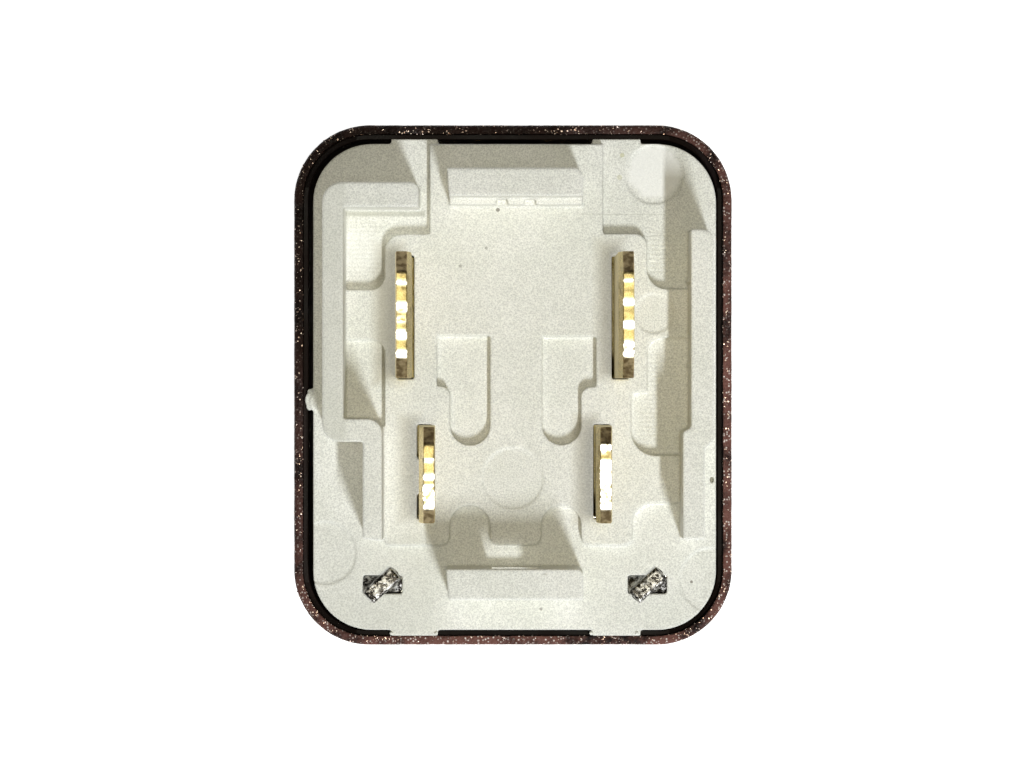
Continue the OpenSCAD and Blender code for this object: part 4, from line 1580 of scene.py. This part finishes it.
@dataclass
class BasePlate(SubAssembly):
    """The cream moulded base with its rails, bars, pockets and small moulding faults."""

    voxel: float = 0.06
    smoothing: int = 5
    triangles: int = 185_000
    bead_y: float = -12.86
    bead_x: tuple[float, ...] = (-6.30, -3.98, 4.05, 6.42)
    bead_radius: float = 0.10
    floor_z: float = 21.55
    added: tuple[tuple[Point, Point], ...] = (
        ((-5.30, -6.95, 20.6), (-4.97, -2.00, 22.07)),
        ((-5.10, -5.62, 20.6), (-4.80, -3.80, 22.03)),
        ((8.98, 5.25, 21.4), (9.30, 5.42, 25.3)), ((8.98, 0.90, 21.4), (9.30, 1.07, 25.3)))
    grooves: tuple[tuple[Point, Point], ...] = (
        ((10.20, -5.05, 20.9), (10.40, -4.75, 22.0)),)

    def build(self) -> None:
        """Build the base and its small marks."""
        plate = moulded(self.nodes["base"], "base_plate", self.voxel, self.smoothing,
                        self.triangles, self.added, self.grooves)
        plate.data.shade_smooth()
        self.dress(plate, self.finishes.cream, Slot.BASE, stands_for=("base",))
        beads = points_mesh("rib_beads", [(x, self.bead_y, self.floor_z) for x in self.bead_x])
        ShapeTrees.run(beads, ShapeTrees.heads(), {
            "Head Radius": self.bead_radius * MM, "Head Height": self.bead_radius * MM, "Seed": 2,
            "Material": self.finishes.cream})
        self.dress(beads, None, Slot.BASE)
        self.dress(self.burr(), self.finishes.cream, Slot.BASE)

    def burr(self) -> bpy.types.Object:
        """Make the ragged burr that hangs over the left edge of the base.

        Returns:
            The burr.
        """
        bm = bmesh.new()
        bmesh.ops.create_icosphere(bm, subdivisions=4, radius=1.0)
        for vertex in bm.verts:
            shape = vertex.co * (1 + 0.35 * noise.noise(vertex.co * 1.7 + Vector((4, 1, 7))))
            vertex.co = (Vector((shape.x * 0.34, shape.y * 0.62, shape.z * 0.20))
                         + Vector((-10.36, -0.78, self.floor_z + 0.06))) * MM
        return shade(from_bmesh("edge_burr", bm), 60)


@dataclass
class Blade(SubAssembly):
    """One blade: its hidden foot, and its upright part with an uneven tip left by shearing."""

    node: str = ""
    x: float = 0.0
    y: float = 0.0
    width: float = 6.3
    corner: float = 1.05
    thickness: float = 0.8
    land: float = 0.55
    bevel: float = 1.1
    seed: float = 1.0
    lean: float = 0.0
    bend_z: float = 24.2
    hole: float = 0.0
    hole_z: float = 27.75
    root: float = 20.4
    tip: float = 33.4
    ring_steps: tuple[int, int, int] = (6, 44, 4)
    land_shift: float = 0.0
    # Spans across the blade, from its middle, where the land gets painted highlights.
    highlight_spots: tuple[tuple[float, float], ...] = ()
    edge_round: float = 0.07
    tip_trim: float = 0.05
    shift_share: float = 0.3
    level_from: float = 0.25
    spot_border: float = 0.12
    shear_depth: float = 0.35
    bend_reach: float = 0.5

    def build(self) -> None:
        """Build the blade as one piece."""
        foot = softened(self.nodes[self.node], self.node + "_foot", 0.06,
                        keep=cut_at(self.root, above=False))
        blank = self.blank()
        if self.hole:
            self.pierce(blank)
        self.bend(blank)
        blade = join(self.node + "_dressed", [shade(blank, 34), shade(foot)])
        self.mark(blade)
        self.dress(blade, self.finishes.brass, Slot.BRASS, stands_for=(self.node,))

    def blank(self) -> bpy.types.Object:
        """Make the upright part, with bevels, cut corners and an uneven land.

        Returns:
            The upright part.
        """
        levels = [self.root + (self.tip - 1.3 - self.root) * i / 30 for i in range(31)]
        levels += [self.tip - 1.2 + 1.15 * i / 16 for i in range(17)]
        levels += [self.tip - 0.03, self.tip]
        rings = []
        for z in levels:
            below = self.tip - z
            half_w = self.width / 2 - max(0.0, self.corner - below)
            trim = self.tip_trim * (1 - min(below / self.tip_trim, 1))
            ring = rounded_ring((self.thickness / 2 - trim, half_w - trim), self.edge_round, z,
                                self.ring_steps)
            share = np.array([self.taper(y, below) for y in ring[:, 1]])
            ring[:, 0] = (ring[:, 0] * share
                          + self.land_shift * (1 - share) / self.shift_share)
            rings.append(ring)
        bm = bmesh.new()
        self.cap(bm, walls(bm, rings))
        outward(bm)
        for vertex in bm.verts:
            self.shear(vertex)
            vertex.co += Vector((self.x, self.y, 0)) * MM
        return from_bmesh(self.node + "_blank", bm)

    def taper(self, y: float, below: float) -> float:
        """Share of the full thickness that the bevel round the tip's outline leaves.

        Args:
            y: Place across the blade from its middle.
            below: Depth below the tip.

        Returns:
            The share.
        """
        to_corner = (self.width / 2 - abs(y) + below - self.corner) / math.sqrt(2)
        depth = min(max(min(below, to_corner), 0.0) / self.bevel, 1.0)
        least = self.land / self.thickness
        return least + (1 - least) * depth

    def mark(self, blade: bpy.types.Object) -> None:
        """Store where the tip's corners were cut, which get painted shade, and where the land gets
        painted highlights.

        Args:
            blade: The finished blade.
        """
        mesh = blade.data
        cut, bright = np.zeros(len(mesh.vertices)), np.zeros(len(mesh.vertices))
        for i, (vertex, normal) in enumerate(zip(mesh.vertices, mesh.vertex_normals)):
            if normal.vector.z < self.level_from or vertex.co.z / MM < self.tip - self.corner - 0.3:
                continue
            y = vertex.co.y / MM - self.y
            cut[i] = min(max((abs(y) - self.width / 2 + self.corner + 0.15) / 0.2, 0), 1)
            for low, high in self.highlight_spots:
                inside = min(y - low, high - y) / self.spot_border + 0.5
                bright[i] = max(bright[i], min(max(inside, 0), 1))
        for name, values in ((CUT_MASK, cut), (HIGHLIGHT_MASK, bright)):
            mask = mesh.attributes.new(name, "FLOAT", "POINT")
            mask.data.foreach_set("value", values.astype(np.float32))

    def cap(self, bm: bmesh.types.BMesh, ring: list[bmesh.types.BMVert]) -> None:
        """Close the tip with rows of faces across it, so that its land can be uneven.

        Args:
            bm: The bmesh.
            ring: The top ring.
        """
        across, along, round_steps = self.ring_steps
        left = 2 * round_steps + across - 2
        left_end = left + along
        right = left_end + 2 * round_steps + across - 2
        pairs = [(ring[left + i], ring[(right + along - i) % len(ring)]) for i in range(along + 1)]
        shares = (0.2, 0.4, 0.6, 0.8)
        rows = [[a, *(bm.verts.new(a.co.lerp(b.co, share)) for share in shares), b]
                for a, b in pairs]
        for upper, lower in zip(rows, rows[1:]):
            for i in range(len(upper) - 1):
                bm.faces.new((upper[i], lower[i], lower[i + 1], upper[i + 1]))
        bm.faces.new(ring[:left] + rows[0][:-1])
        bm.faces.new(ring[left_end:right] + rows[-1][::-1][:-1])

    def shear(self, vertex: bmesh.types.BMVert) -> None:
        """Move a point of the tip as the shear that cut the blade left it, never outwards.

        Args:
            vertex: A point of the upright part, about its own axis.
        """
        near = max(0.0, 1 - (self.tip * MM - vertex.co.z) / (self.shear_depth * MM))
        if near <= 0:
            return
        wave = jitter(vertex.co, 0.55, self.seed)
        fine = jitter(vertex.co, 0.2, self.seed + 5)
        vertex.co.z -= near * (0.040 * abs(wave.z) + 0.010 * abs(fine.z)) * MM
        squeeze = 1 - near * (0.10 * abs(wave.x) + 0.06 * abs(fine.x))
        vertex.co.x *= squeeze

    def pierce(self, blank: bpy.types.Object) -> None:
        """Cut the detent hole, flared a little at both faces.

        Args:
            blank: The upright part.
        """
        r, t = self.hole / 2, self.thickness / 2
        cutter = turned("hole_cutter", [(0, -t - 0.3), (r + 0.3, -t - 0.3), (r, -t + 0.06),
                                        (r, t - 0.06), (r + 0.3, t + 0.3), (0, t + 0.3)],
                        (0, 0, 0), segments=40)
        cutter.data.transform(Matrix.Translation(
            Vector((self.x, self.y, self.hole_z)) * MM) @ Matrix.Rotation(math.pi / 2, 4, "Y"))
        carve(blank, cutter)

    def bend(self, blank: bpy.types.Object) -> None:
        """Lean the blade over a short bend.

        Args:
            blank: The upright part.
        """
        if not self.lean:
            return
        full = math.radians(self.lean)
        reach = self.bend_reach
        for vertex in blank.data.vertices:
            over = vertex.co.z / MM - (self.bend_z - reach / 2)
            if over <= 0:
                continue
            turn = full * min(over / reach, 1)
            shift = vertex.co.x / MM - self.x
            if over < reach:
                side, rise = over * math.sin(turn / 2), over * math.cos(turn / 2)
            else:
                side = reach * math.sin(full / 2) + (over - reach) * math.sin(full)
                rise = reach * math.cos(full / 2) + (over - reach) * math.cos(full)
            vertex.co.x = (self.x + side + shift * math.cos(turn)) * MM
            vertex.co.z = (self.bend_z - reach / 2 + rise - shift * math.sin(turn)) * MM


@dataclass
class Magnet(SubAssembly):
    """Yoke with its twisted tabs, core, bobbin, winding and the wire ends."""

    tab_x: tuple[float, float] = (-6.76, 6.96)
    tab_y: float = -10.33
    tab_size: tuple[float, float] = (1.92, 0.85)
    tab_low: float = 18.6
    tab_top: float = 22.95
    tab_turn: float = 42.0
    twist_z: tuple[float, float] = (21.3, 21.85)
    cut_z: float = 18.9
    coil_turns: float = 58.0
    wire: float = 0.072
    post_x: float = 8.62
    post_y: float = -4.48
    wrap: float = 0.72
    wrap_wire: float = 0.12

    def build(self) -> None:
        """Build every piece of the magnet."""
        yoke = shade(softened(self.nodes["yoke"], "yoke_dressed", 0.08,
                              keep=cut_at(self.cut_z, above=False)))
        self.dress(yoke, self.finishes.plated, Slot.PLATED, stands_for=("yoke",))
        tree = ShapeTrees.twist()
        tabs = [self.tab(x, i, tree) for i, x in enumerate(self.tab_x)]
        self.dress(join("yoke_tabs", tabs), None, Slot.PLATED)
        self.soft("core", "core_dressed", 0.08, self.finishes.iron, Slot.IRON)
        self.soft("bobbin", "bobbin_dressed", 0.08, self.finishes.bobbin, Slot.BOBBIN)
        self.winding()
        for side, node in ((-1, "coil_lead_a"), (1, "coil_lead_b")):
            self.lead(side, node)

    def tab(self, x: float, index: int, tree: bpy.types.NodeTree) -> bpy.types.Object:
        """Make one tab, straight through the base and twisted above it.

        Args:
            x: Its place across.
            index: Its number, for its own unevenness.
            tree: The twisting tree.

        Returns:
            The tab.
        """
        levels = [self.tab_low + (self.twist_z[0] - self.tab_low) * i / 4 for i in range(4)]
        levels += [self.twist_z[0] + (self.tab_top - 0.1 - self.twist_z[0]) * i / 22
                   for i in range(23)]
        half = (self.tab_size[0] / 2, self.tab_size[1] / 2)
        rings = [rounded_ring(half, 0.08, z, (12, 6, 4)) for z in levels]
        for inset, drop in ((0.03, 0.05), (0.09, 0.01), (0.16, 0.0)):
            rings.append(rounded_ring((half[0] - inset, half[1] - inset), 0.08,
                                      self.tab_top - drop, (12, 6, 4)))
        tab = loft("tab", rings)
        for vertex in tab.data.vertices:
            rough = jitter(vertex.co, 0.45, 20 + 7 * index)
            near = min(max(vertex.co.z / MM - self.twist_z[0], 0), 1)
            vertex.co.x *= 1 - 0.05 * near * abs(rough.x)
            vertex.co.y *= 1 - 0.12 * near * abs(rough.y)
            if vertex.co.z / MM > self.tab_top - 0.2:
                vertex.co.z -= 0.05 * abs(rough.z) * MM
            vertex.co += Vector((x, self.tab_y, 0)) * MM
        ShapeTrees.run(tab, tree, {
            "Centre": (x * MM, self.tab_y * MM, 0.0), "Angle": math.radians(self.tab_turn),
            "From Height": self.twist_z[0] * MM, "To Height": self.twist_z[1] * MM,
            "Material": self.finishes.tab_steel})
        return shade(tab, 30)

    def winding(self) -> None:
        """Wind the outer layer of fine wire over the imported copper."""
        low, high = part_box("winding")
        centre = (low + high) / 2
        outer = (high.x - low.x) / 2
        wire = self.wire * MM
        pitch = (high.z - low.z - 2 * wire) / self.coil_turns
        inner = outer / MM - 2 * self.wire + 0.02
        body = turned("winding_dressed", [
            (3.6, low.z / MM), (inner, low.z / MM), (inner, high.z / MM), (3.6, high.z / MM),
            (3.6, low.z / MM)], (0, centre.y / MM, 0), segments=96)
        ShapeTrees.run(body, ShapeTrees.helix(), {
            "Turns": self.coil_turns, "Radius": outer - wire,
            "Height": pitch * self.coil_turns, "Wire Radius": wire * 0.98, "Steps": 44,
            "Centre": (0.0, centre.y, low.z + wire), "Material": self.finishes.copper})
        self.dress(body, None, Slot.COPPER, stands_for=("winding",))

    def lead(self, side: int, node: str) -> None:
        """Lead one wire end out of the winding and wrap it on its post.

        Args:
            side: -1 for the left post, 1 for the right one.
            node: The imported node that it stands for.
        """
        low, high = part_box(node)
        z0, z1 = low.z / MM + self.wrap_wire, high.z / MM - self.wrap_wire
        path: list[Point] = [(side * 5.4, self.post_y, z1)]
        path.append((side * (self.post_x - self.wrap - 0.05), self.post_y, z1))
        turns = 3
        steps = 20 * turns
        start = math.pi if side > 0 else 0.0
        for i in range(steps + 1):
            turn = start + 2 * math.pi * i / 20
            path.append((side * self.post_x + self.wrap * math.cos(turn),
                         self.post_y + self.wrap * math.sin(turn),
                         z1 - (z1 - z0) * i / steps))
        wire = points_mesh(node + "_dressed", path, linked=True)
        ShapeTrees.run(wire, ShapeTrees.wire(), {
            "Wire Radius": self.wrap_wire * MM, "Bend Radius": 0.01 * MM,
            "Material": self.finishes.copper})
        self.dress(wire, None, Slot.COPPER, stands_for=(node,))


@dataclass
class SwingingArmature(SubAssembly):
    """Armature with its bosses, the leaf spring and the moving contact."""

    hinge: tuple[float, float] = (-10.6, 4.8)
    open_deg: float = 2.5
    boss_x: tuple[float, float] = (-1.6, 1.6)
    boss_y: float = 2.2
    contact_y: float = 9.18
    plate_low: float = 3.5
    leaf: float = 0.25
    bend_from: float = -10.95
    bend_to: float = -9.9
    rivet_x: tuple[float, float] = (-1.9, 1.9)

    def build(self) -> None:
        """Build every piece that swings, and the rivets that hold the spring."""
        self.soft("armature", "armature_dressed", 0.08, self.finishes.iron, Slot.IRON,
                  Body.ARMATURE)
        spring = shade(softened(self.nodes["contact_spring"], "leaf_spring", 0.04))
        spring.data.materials.append(self.finishes.leaf)
        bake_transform(spring)
        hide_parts("contact_spring")
        LOG.info("%s: %d faces between both bodies", spring.name, len(spring.data.polygons))
        self.bosses()
        self.leg_rivets()
        self.contact()

    def open(self, obj: bpy.types.Object) -> bpy.types.Object:
        """Turn a piece about the hinge to the armature's open place.

        Args:
            obj: A piece modelled level.

        Returns:
            The same piece.
        """
        pivot = Vector((0, self.hinge[0], self.hinge[1])) * MM
        turn = Matrix.Rotation(math.radians(-self.open_deg), 4, "X")
        obj.data.transform(Matrix.Translation(pivot) @ turn @ Matrix.Translation(-pivot))
        return obj

    def bosses(self) -> None:
        """Head the armature's two bosses over the spring."""
        low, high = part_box("armature_rivets")
        under = self.plate_low - self.leaf
        shanks = [turned("boss", [(0, under - 0.1), (0.6, under - 0.1), (0.6, under + 1.3),
                                  (0.54, under + 1.42), (0, under + 1.45)], (x, self.boss_y, 0))
                  for x in self.boss_x]
        heads = points_mesh("boss_heads", [(x, self.boss_y, under) for x in self.boss_x])
        ShapeTrees.run(heads, ShapeTrees.heads(), {
            "Head Radius": 1.0 * MM, "Head Height": 0.34 * MM, "Seed": 4,
            "Material": self.finishes.iron})
        for shank in shanks:
            shank.data.materials.append(self.finishes.iron)
            shade(shank)
        piece = self.open(join("armature_bosses", [*shanks, heads]))
        self.dress(piece, None, Slot.IRON, Body.ARMATURE, ("armature_rivets",))
        LOG.info("bosses lie within %.2f and %.2f mm", low.z / MM, high.z / MM)

    def leg_rivets(self) -> None:
        """Set the two rivets that hold the spring on the yoke's leg."""
        low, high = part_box("spring_rivets")
        z = (low.z + high.z) / 2 / MM
        front, back = low.y / MM, high.y / MM
        shanks = [turned("rivet", [(0, front + 0.2), (0.6, front + 0.2), (0.6, back - 0.2),
                                   (0, back - 0.2)], (x, 0, z), Axis.Y) for x in self.rivet_x]
        heads = points_mesh("rivet_heads", [(x, y, z) for x in self.rivet_x
                                            for y in (front + 0.35, back - 0.35)])
        ShapeTrees.run(heads, ShapeTrees.heads(), {
            "Head Radius": 1.0 * MM, "Head Height": 0.35 * MM, "Turn": (math.pi / 2, 0.0, 0.0),
            "Seed": 6, "Material": self.finishes.plated})
        for shank in shanks:
            shank.data.materials.append(self.finishes.plated)
        self.dress(join("leg_rivets", [*shanks, heads]), None, Slot.PLATED,
                   stands_for=("spring_rivets",))

    def contact(self) -> None:
        """Turn the moving contact, with its clinched shank under the spring."""
        low = self.plate_low
        face = turned("moving_face", domed(1.3, low, low + 0.7, 0.12), (0, self.contact_y, 0))
        shank = turned("moving_shank", [
            (0, low - self.leaf - 0.3), (0.8, low - self.leaf - 0.3),
            (0.95, low - self.leaf - 0.22),
            (1.0, low - self.leaf - 0.1), (1.0, low - self.leaf), (0.7, low - self.leaf),
            (0.7, low + 0.1), (0, low + 0.1)], (0, self.contact_y, 0))
        piece = self.open(join("moving_contact_dressed", [shade(face), shade(shank)]))
        self.dress(piece, self.finishes.silver, Slot.SILVER, Body.ARMATURE, ("moving_contact",))


@dataclass
class ContactSide(SubAssembly):
    """Fixed contact on the output blade's tongue, and the stop behind the spring."""

    face_radius: float = 1.3
    face_height: float = 0.7
    shank_radius: float = 0.7
    clinch_radius: float = 1.0
    clinch: float = 0.3

    def build(self) -> None:
        """Build the fixed contact and the back stop."""
        low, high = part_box("fixed_contact")
        y = (low.y + high.y) / 2 / MM
        z0, z1 = low.z / MM, high.z / MM
        face = turned("fixed_face", [
            (r, z0 + z1 - z) for r, z in reversed(domed(
                self.face_radius, z1 - self.face_height, z1, 0.12))], (0, y, 0))
        shank = turned("fixed_shank", [
            (0, z0 + 0.3), (self.shank_radius, z0 + 0.3), (self.shank_radius, z1 - self.clinch),
            (self.clinch_radius, z1 - self.clinch), (self.clinch_radius, z1 - 0.12),
            (self.clinch_radius - 0.08, z1 - 0.03), (self.clinch_radius - 0.2, z1), (0, z1)],
            (0, y, 0))
        self.dress(join("fixed_contact_dressed", [shade(face), shade(shank)]),
                   self.finishes.silver, Slot.SILVER, stands_for=("fixed_contact",))
        self.soft("back_stop", "back_stop_dressed", 0.06, self.finishes.brass, Slot.BRASS)


@dataclass
class Suppressor(SubAssembly):
    """The resistor across the coil and its two bent wires."""

    lead_radius: float = 0.25
    bend: float = 0.6

    def build(self) -> None:
        """Build the resistor and its wires."""
        low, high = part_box("resistor")
        y, z = (low.y + high.y) / 2 / MM, (low.z + high.z) / 2 / MM
        half, radius = high.x / MM, (high.z - low.z) / 2 / MM
        profile = [(0, -half), (0.35, -half), (0.6, -half + 0.05), (radius - 0.2, -half + 0.2),
                   (radius, -half + 0.5), (radius, -half + 0.95), (radius - 0.14, -half + 1.25)]
        mirror = [(r, -h) for r, h in reversed(profile)]
        body = turned("resistor_dressed", profile + mirror, (0, 0, 0), Axis.Z, 40)
        body.data.transform(Matrix.Translation(Vector((0, y, z)) * MM)
                            @ Matrix.Rotation(math.pi / 2, 4, "Y"))
        self.dress(shade(body, 50), self.finishes.coat, Slot.COAT, stands_for=("resistor",))
        wires_low, wires_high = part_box("resistor_leads")
        reach = wires_high.x / MM - self.lead_radius
        front = wires_low.y / MM
        tree = ShapeTrees.wire()
        wires = []
        for side in (-1, 1):
            path = [(side * (half - 0.3), y, z), (side * reach, y, z), (side * reach, front, z)]
            wire = points_mesh("resistor_wire", path, linked=True)
            wires.append(ShapeTrees.run(wire, tree, {
                "Wire Radius": self.lead_radius * MM, "Bend Radius": self.bend * MM,
                "Material": self.finishes.tinned}))
        self.dress(join("resistor_wires", wires), None, Slot.TINNED,
                   stands_for=("resistor_leads",))


@dataclass
class Studio:
    """Pale floor, two lamps that each pass some pieces, and the camera straight above."""

    camera_height: float = 288.5
    camera_x: float = -0.05
    lens: float = 181.2
    key_place: Point = (102.0, -262.0, 322.0)
    key_size: tuple[float, float] = (16.0, 110.0)
    key_power: float = 1.34
    top_place: Point = (29.0, -14.0, 430.0)
    top_size: tuple[float, float] = (34.0, 34.0)
    top_power: float = 0.50
    fill: float = 0.04
    aim: Point = (0.0, 0.0, 22.0)

    def build(self) -> None:
        """Build the floor, the lights and the camera."""
        self.floor()
        self.lights()
        self.world()
        data = bpy.data.cameras.new("camera")
        data.lens = self.lens
        data.clip_start = 0.01
        camera = bpy.data.objects.new("camera", data)
        camera.location = (self.camera_x * MM, 0.0, self.camera_height * MM)
        bpy.context.scene.collection.objects.link(camera)
        bpy.context.scene.camera = camera
        bpy.context.scene.view_settings.view_transform = "Standard"

    def floor(self) -> None:
        """Lay the pale floor."""
        mesh = bpy.data.meshes.new("floor")
        mesh.from_pydata([(-2, -2, -1e-5), (2, -2, -1e-5), (2, 2, -1e-5), (-2, 2, -1e-5)], [],
                         [(0, 1, 2, 3)])
        material, w, shader, at = start_material("floor")
        tone = w.remap(w.noise(at, 3.0), 0.3, 0.7, 0.86, 0.9)
        w.fill(shader.inputs["Base Color"], w.add(
            "ShaderNodeCombineColor", None, {0: tone, 1: tone, 2: tone}).outputs[0])
        shader.inputs["Roughness"].default_value = 0.9
        shader.inputs["Emission Color"].default_value = (1, 1, 1, 1)
        shader.inputs["Emission Strength"].default_value = 1.0
        mesh.materials.append(material)
        new_object("floor", mesh)

    def lamp(self, name: str, place: Point, size: tuple[float, float], power: float,
             colour: Colour) -> bpy.types.Object:
        """Hang an area lamp aimed at the part, its long side along Y.

        Args:
            name: Name of the lamp.
            place: Its place in millimetres.
            size: Its size across and along.
            power: Its power in watts.
            colour: Its colour.

        Returns:
            The lamp.
        """
        data = bpy.data.lights.new(name, "AREA")
        data.shape = "RECTANGLE"
        data.size, data.size_y = (v * MM for v in size)
        data.energy = power
        data.color = colour
        lamp = bpy.data.objects.new(name, data)
        away = (Vector(place) - Vector(self.aim)).normalized()
        along = (Vector((0, 1, 0)) - away * away.y).normalized()
        across = along.cross(away)
        turn = Matrix((across, along, away)).transposed().to_4x4()
        lamp.matrix_world = Matrix.Translation(Vector(place) * MM) @ turn
        bpy.context.scene.collection.objects.link(lamp)
        return lamp

    def lights(self) -> None:
        """Hang the side lamp, which the blades don't shade, and the soft one above the part."""
        key = self.lamp("key", self.key_place, self.key_size, self.key_power, (0.92, 0.96, 1.0))
        self.unshaded(key, lambda name: name.startswith("blade_") or name == "yoke_tabs")
        top = self.lamp("top", self.top_place, self.top_size, self.top_power, (1.0, 0.96, 0.80))
        self.unshaded(top, lambda name: name == "base_plate")

    @staticmethod
    def unshaded(lamp: bpy.types.Object, chosen: Callable[[str], bool]) -> None:
        """Let a lamp's light pass the chosen pieces.

        Args:
            lamp: The lamp.
            chosen: Tells by its name whether a piece casts no shadow from this lamp.
        """
        passed = bpy.data.collections.new(lamp.name + "_passes")
        for obj in bpy.context.scene.objects:
            if chosen(obj.name):
                passed.objects.link(obj)
        for entry in passed.collection_objects:
            entry.light_linking.link_state = "EXCLUDE"
        lamp.light_linking.blocker_collection = passed

    def world(self) -> None:
        """Light the room softly from all round."""
        world = bpy.data.worlds.new("room")
        world.use_nodes = True
        background = world.node_tree.nodes["Background"]
        background.inputs["Color"].default_value = (1.0, 0.95, 0.80, 1.0)
        background.inputs["Strength"].default_value = self.fill
        bpy.context.scene.world = world


def clear_scene() -> None:
    """Remove what the empty file starts with."""
    for obj in list(bpy.data.objects):
        bpy.data.objects.remove(obj)


def blades(nodes: Mapping[str, bpy.types.Object], finishes: Finishes) -> list[Blade]:
    """List the four blades.

    Args:
        nodes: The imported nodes.
        finishes: The finishes.

    Returns:
        The blades, ready to be built.
    """
    coil = {"width": 4.8, "corner": 0.85, "y": -4.48, "hole": 1.6, "land_shift": 0.09}
    # The spans given for each blade below are where painted highlights go on its land.
    return [
        Blade(nodes, finishes, "blade_common", x=-5.62, y=3.5, seed=1.3, lean=1.0, bend_z=22.6,
              land_shift=-0.09,
              highlight_spots=((0.10, 0.62), (-0.42, -0.10), (-2.15, -1.75), (1.45, 1.70),
                         (-1.25, -0.75))),
        Blade(nodes, finishes, "blade_output", x=5.64, y=3.5, seed=4.6, lean=0.0,
              land_shift=0.09,
              highlight_spots=((-2.10, -1.28), (-0.72, -0.30), (0.42, 0.80), (1.60, 1.75))),
        Blade(nodes, finishes, "blade_coil_a", x=-4.42, seed=7.9, lean=1.0,
              highlight_spots=((-1.68, -0.44), (0.62, 0.85), (-0.25, 0.10)), **coil),
        Blade(nodes, finishes, "blade_coil_b", x=4.68, seed=12.4, lean=-0.9, bend_z=22.6,
              highlight_spots=((-1.70, -1.10), (-1.05, 0.80), (1.05, 1.55)), **coil),
    ]


def main() -> None:
    """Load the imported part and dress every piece."""
    logging.basicConfig(level=logging.INFO, format="%(name)s %(message)s", stream=sys.stdout)
    noise.seed_set(NOISE_SEED)
    clear_scene()
    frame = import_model()
    nodes, finishes = frame["nodes"], Finishes()
    CoverShell(nodes, finishes).build()
    BasePlate(nodes, finishes).build()
    for blade in blades(nodes, finishes):
        blade.build()
    Magnet(nodes, finishes).build()
    SwingingArmature(nodes, finishes).build()
    ContactSide(nodes, finishes).build()
    Suppressor(nodes, finishes).build()
    Studio().build()


if __name__ == "__main__":
    main()
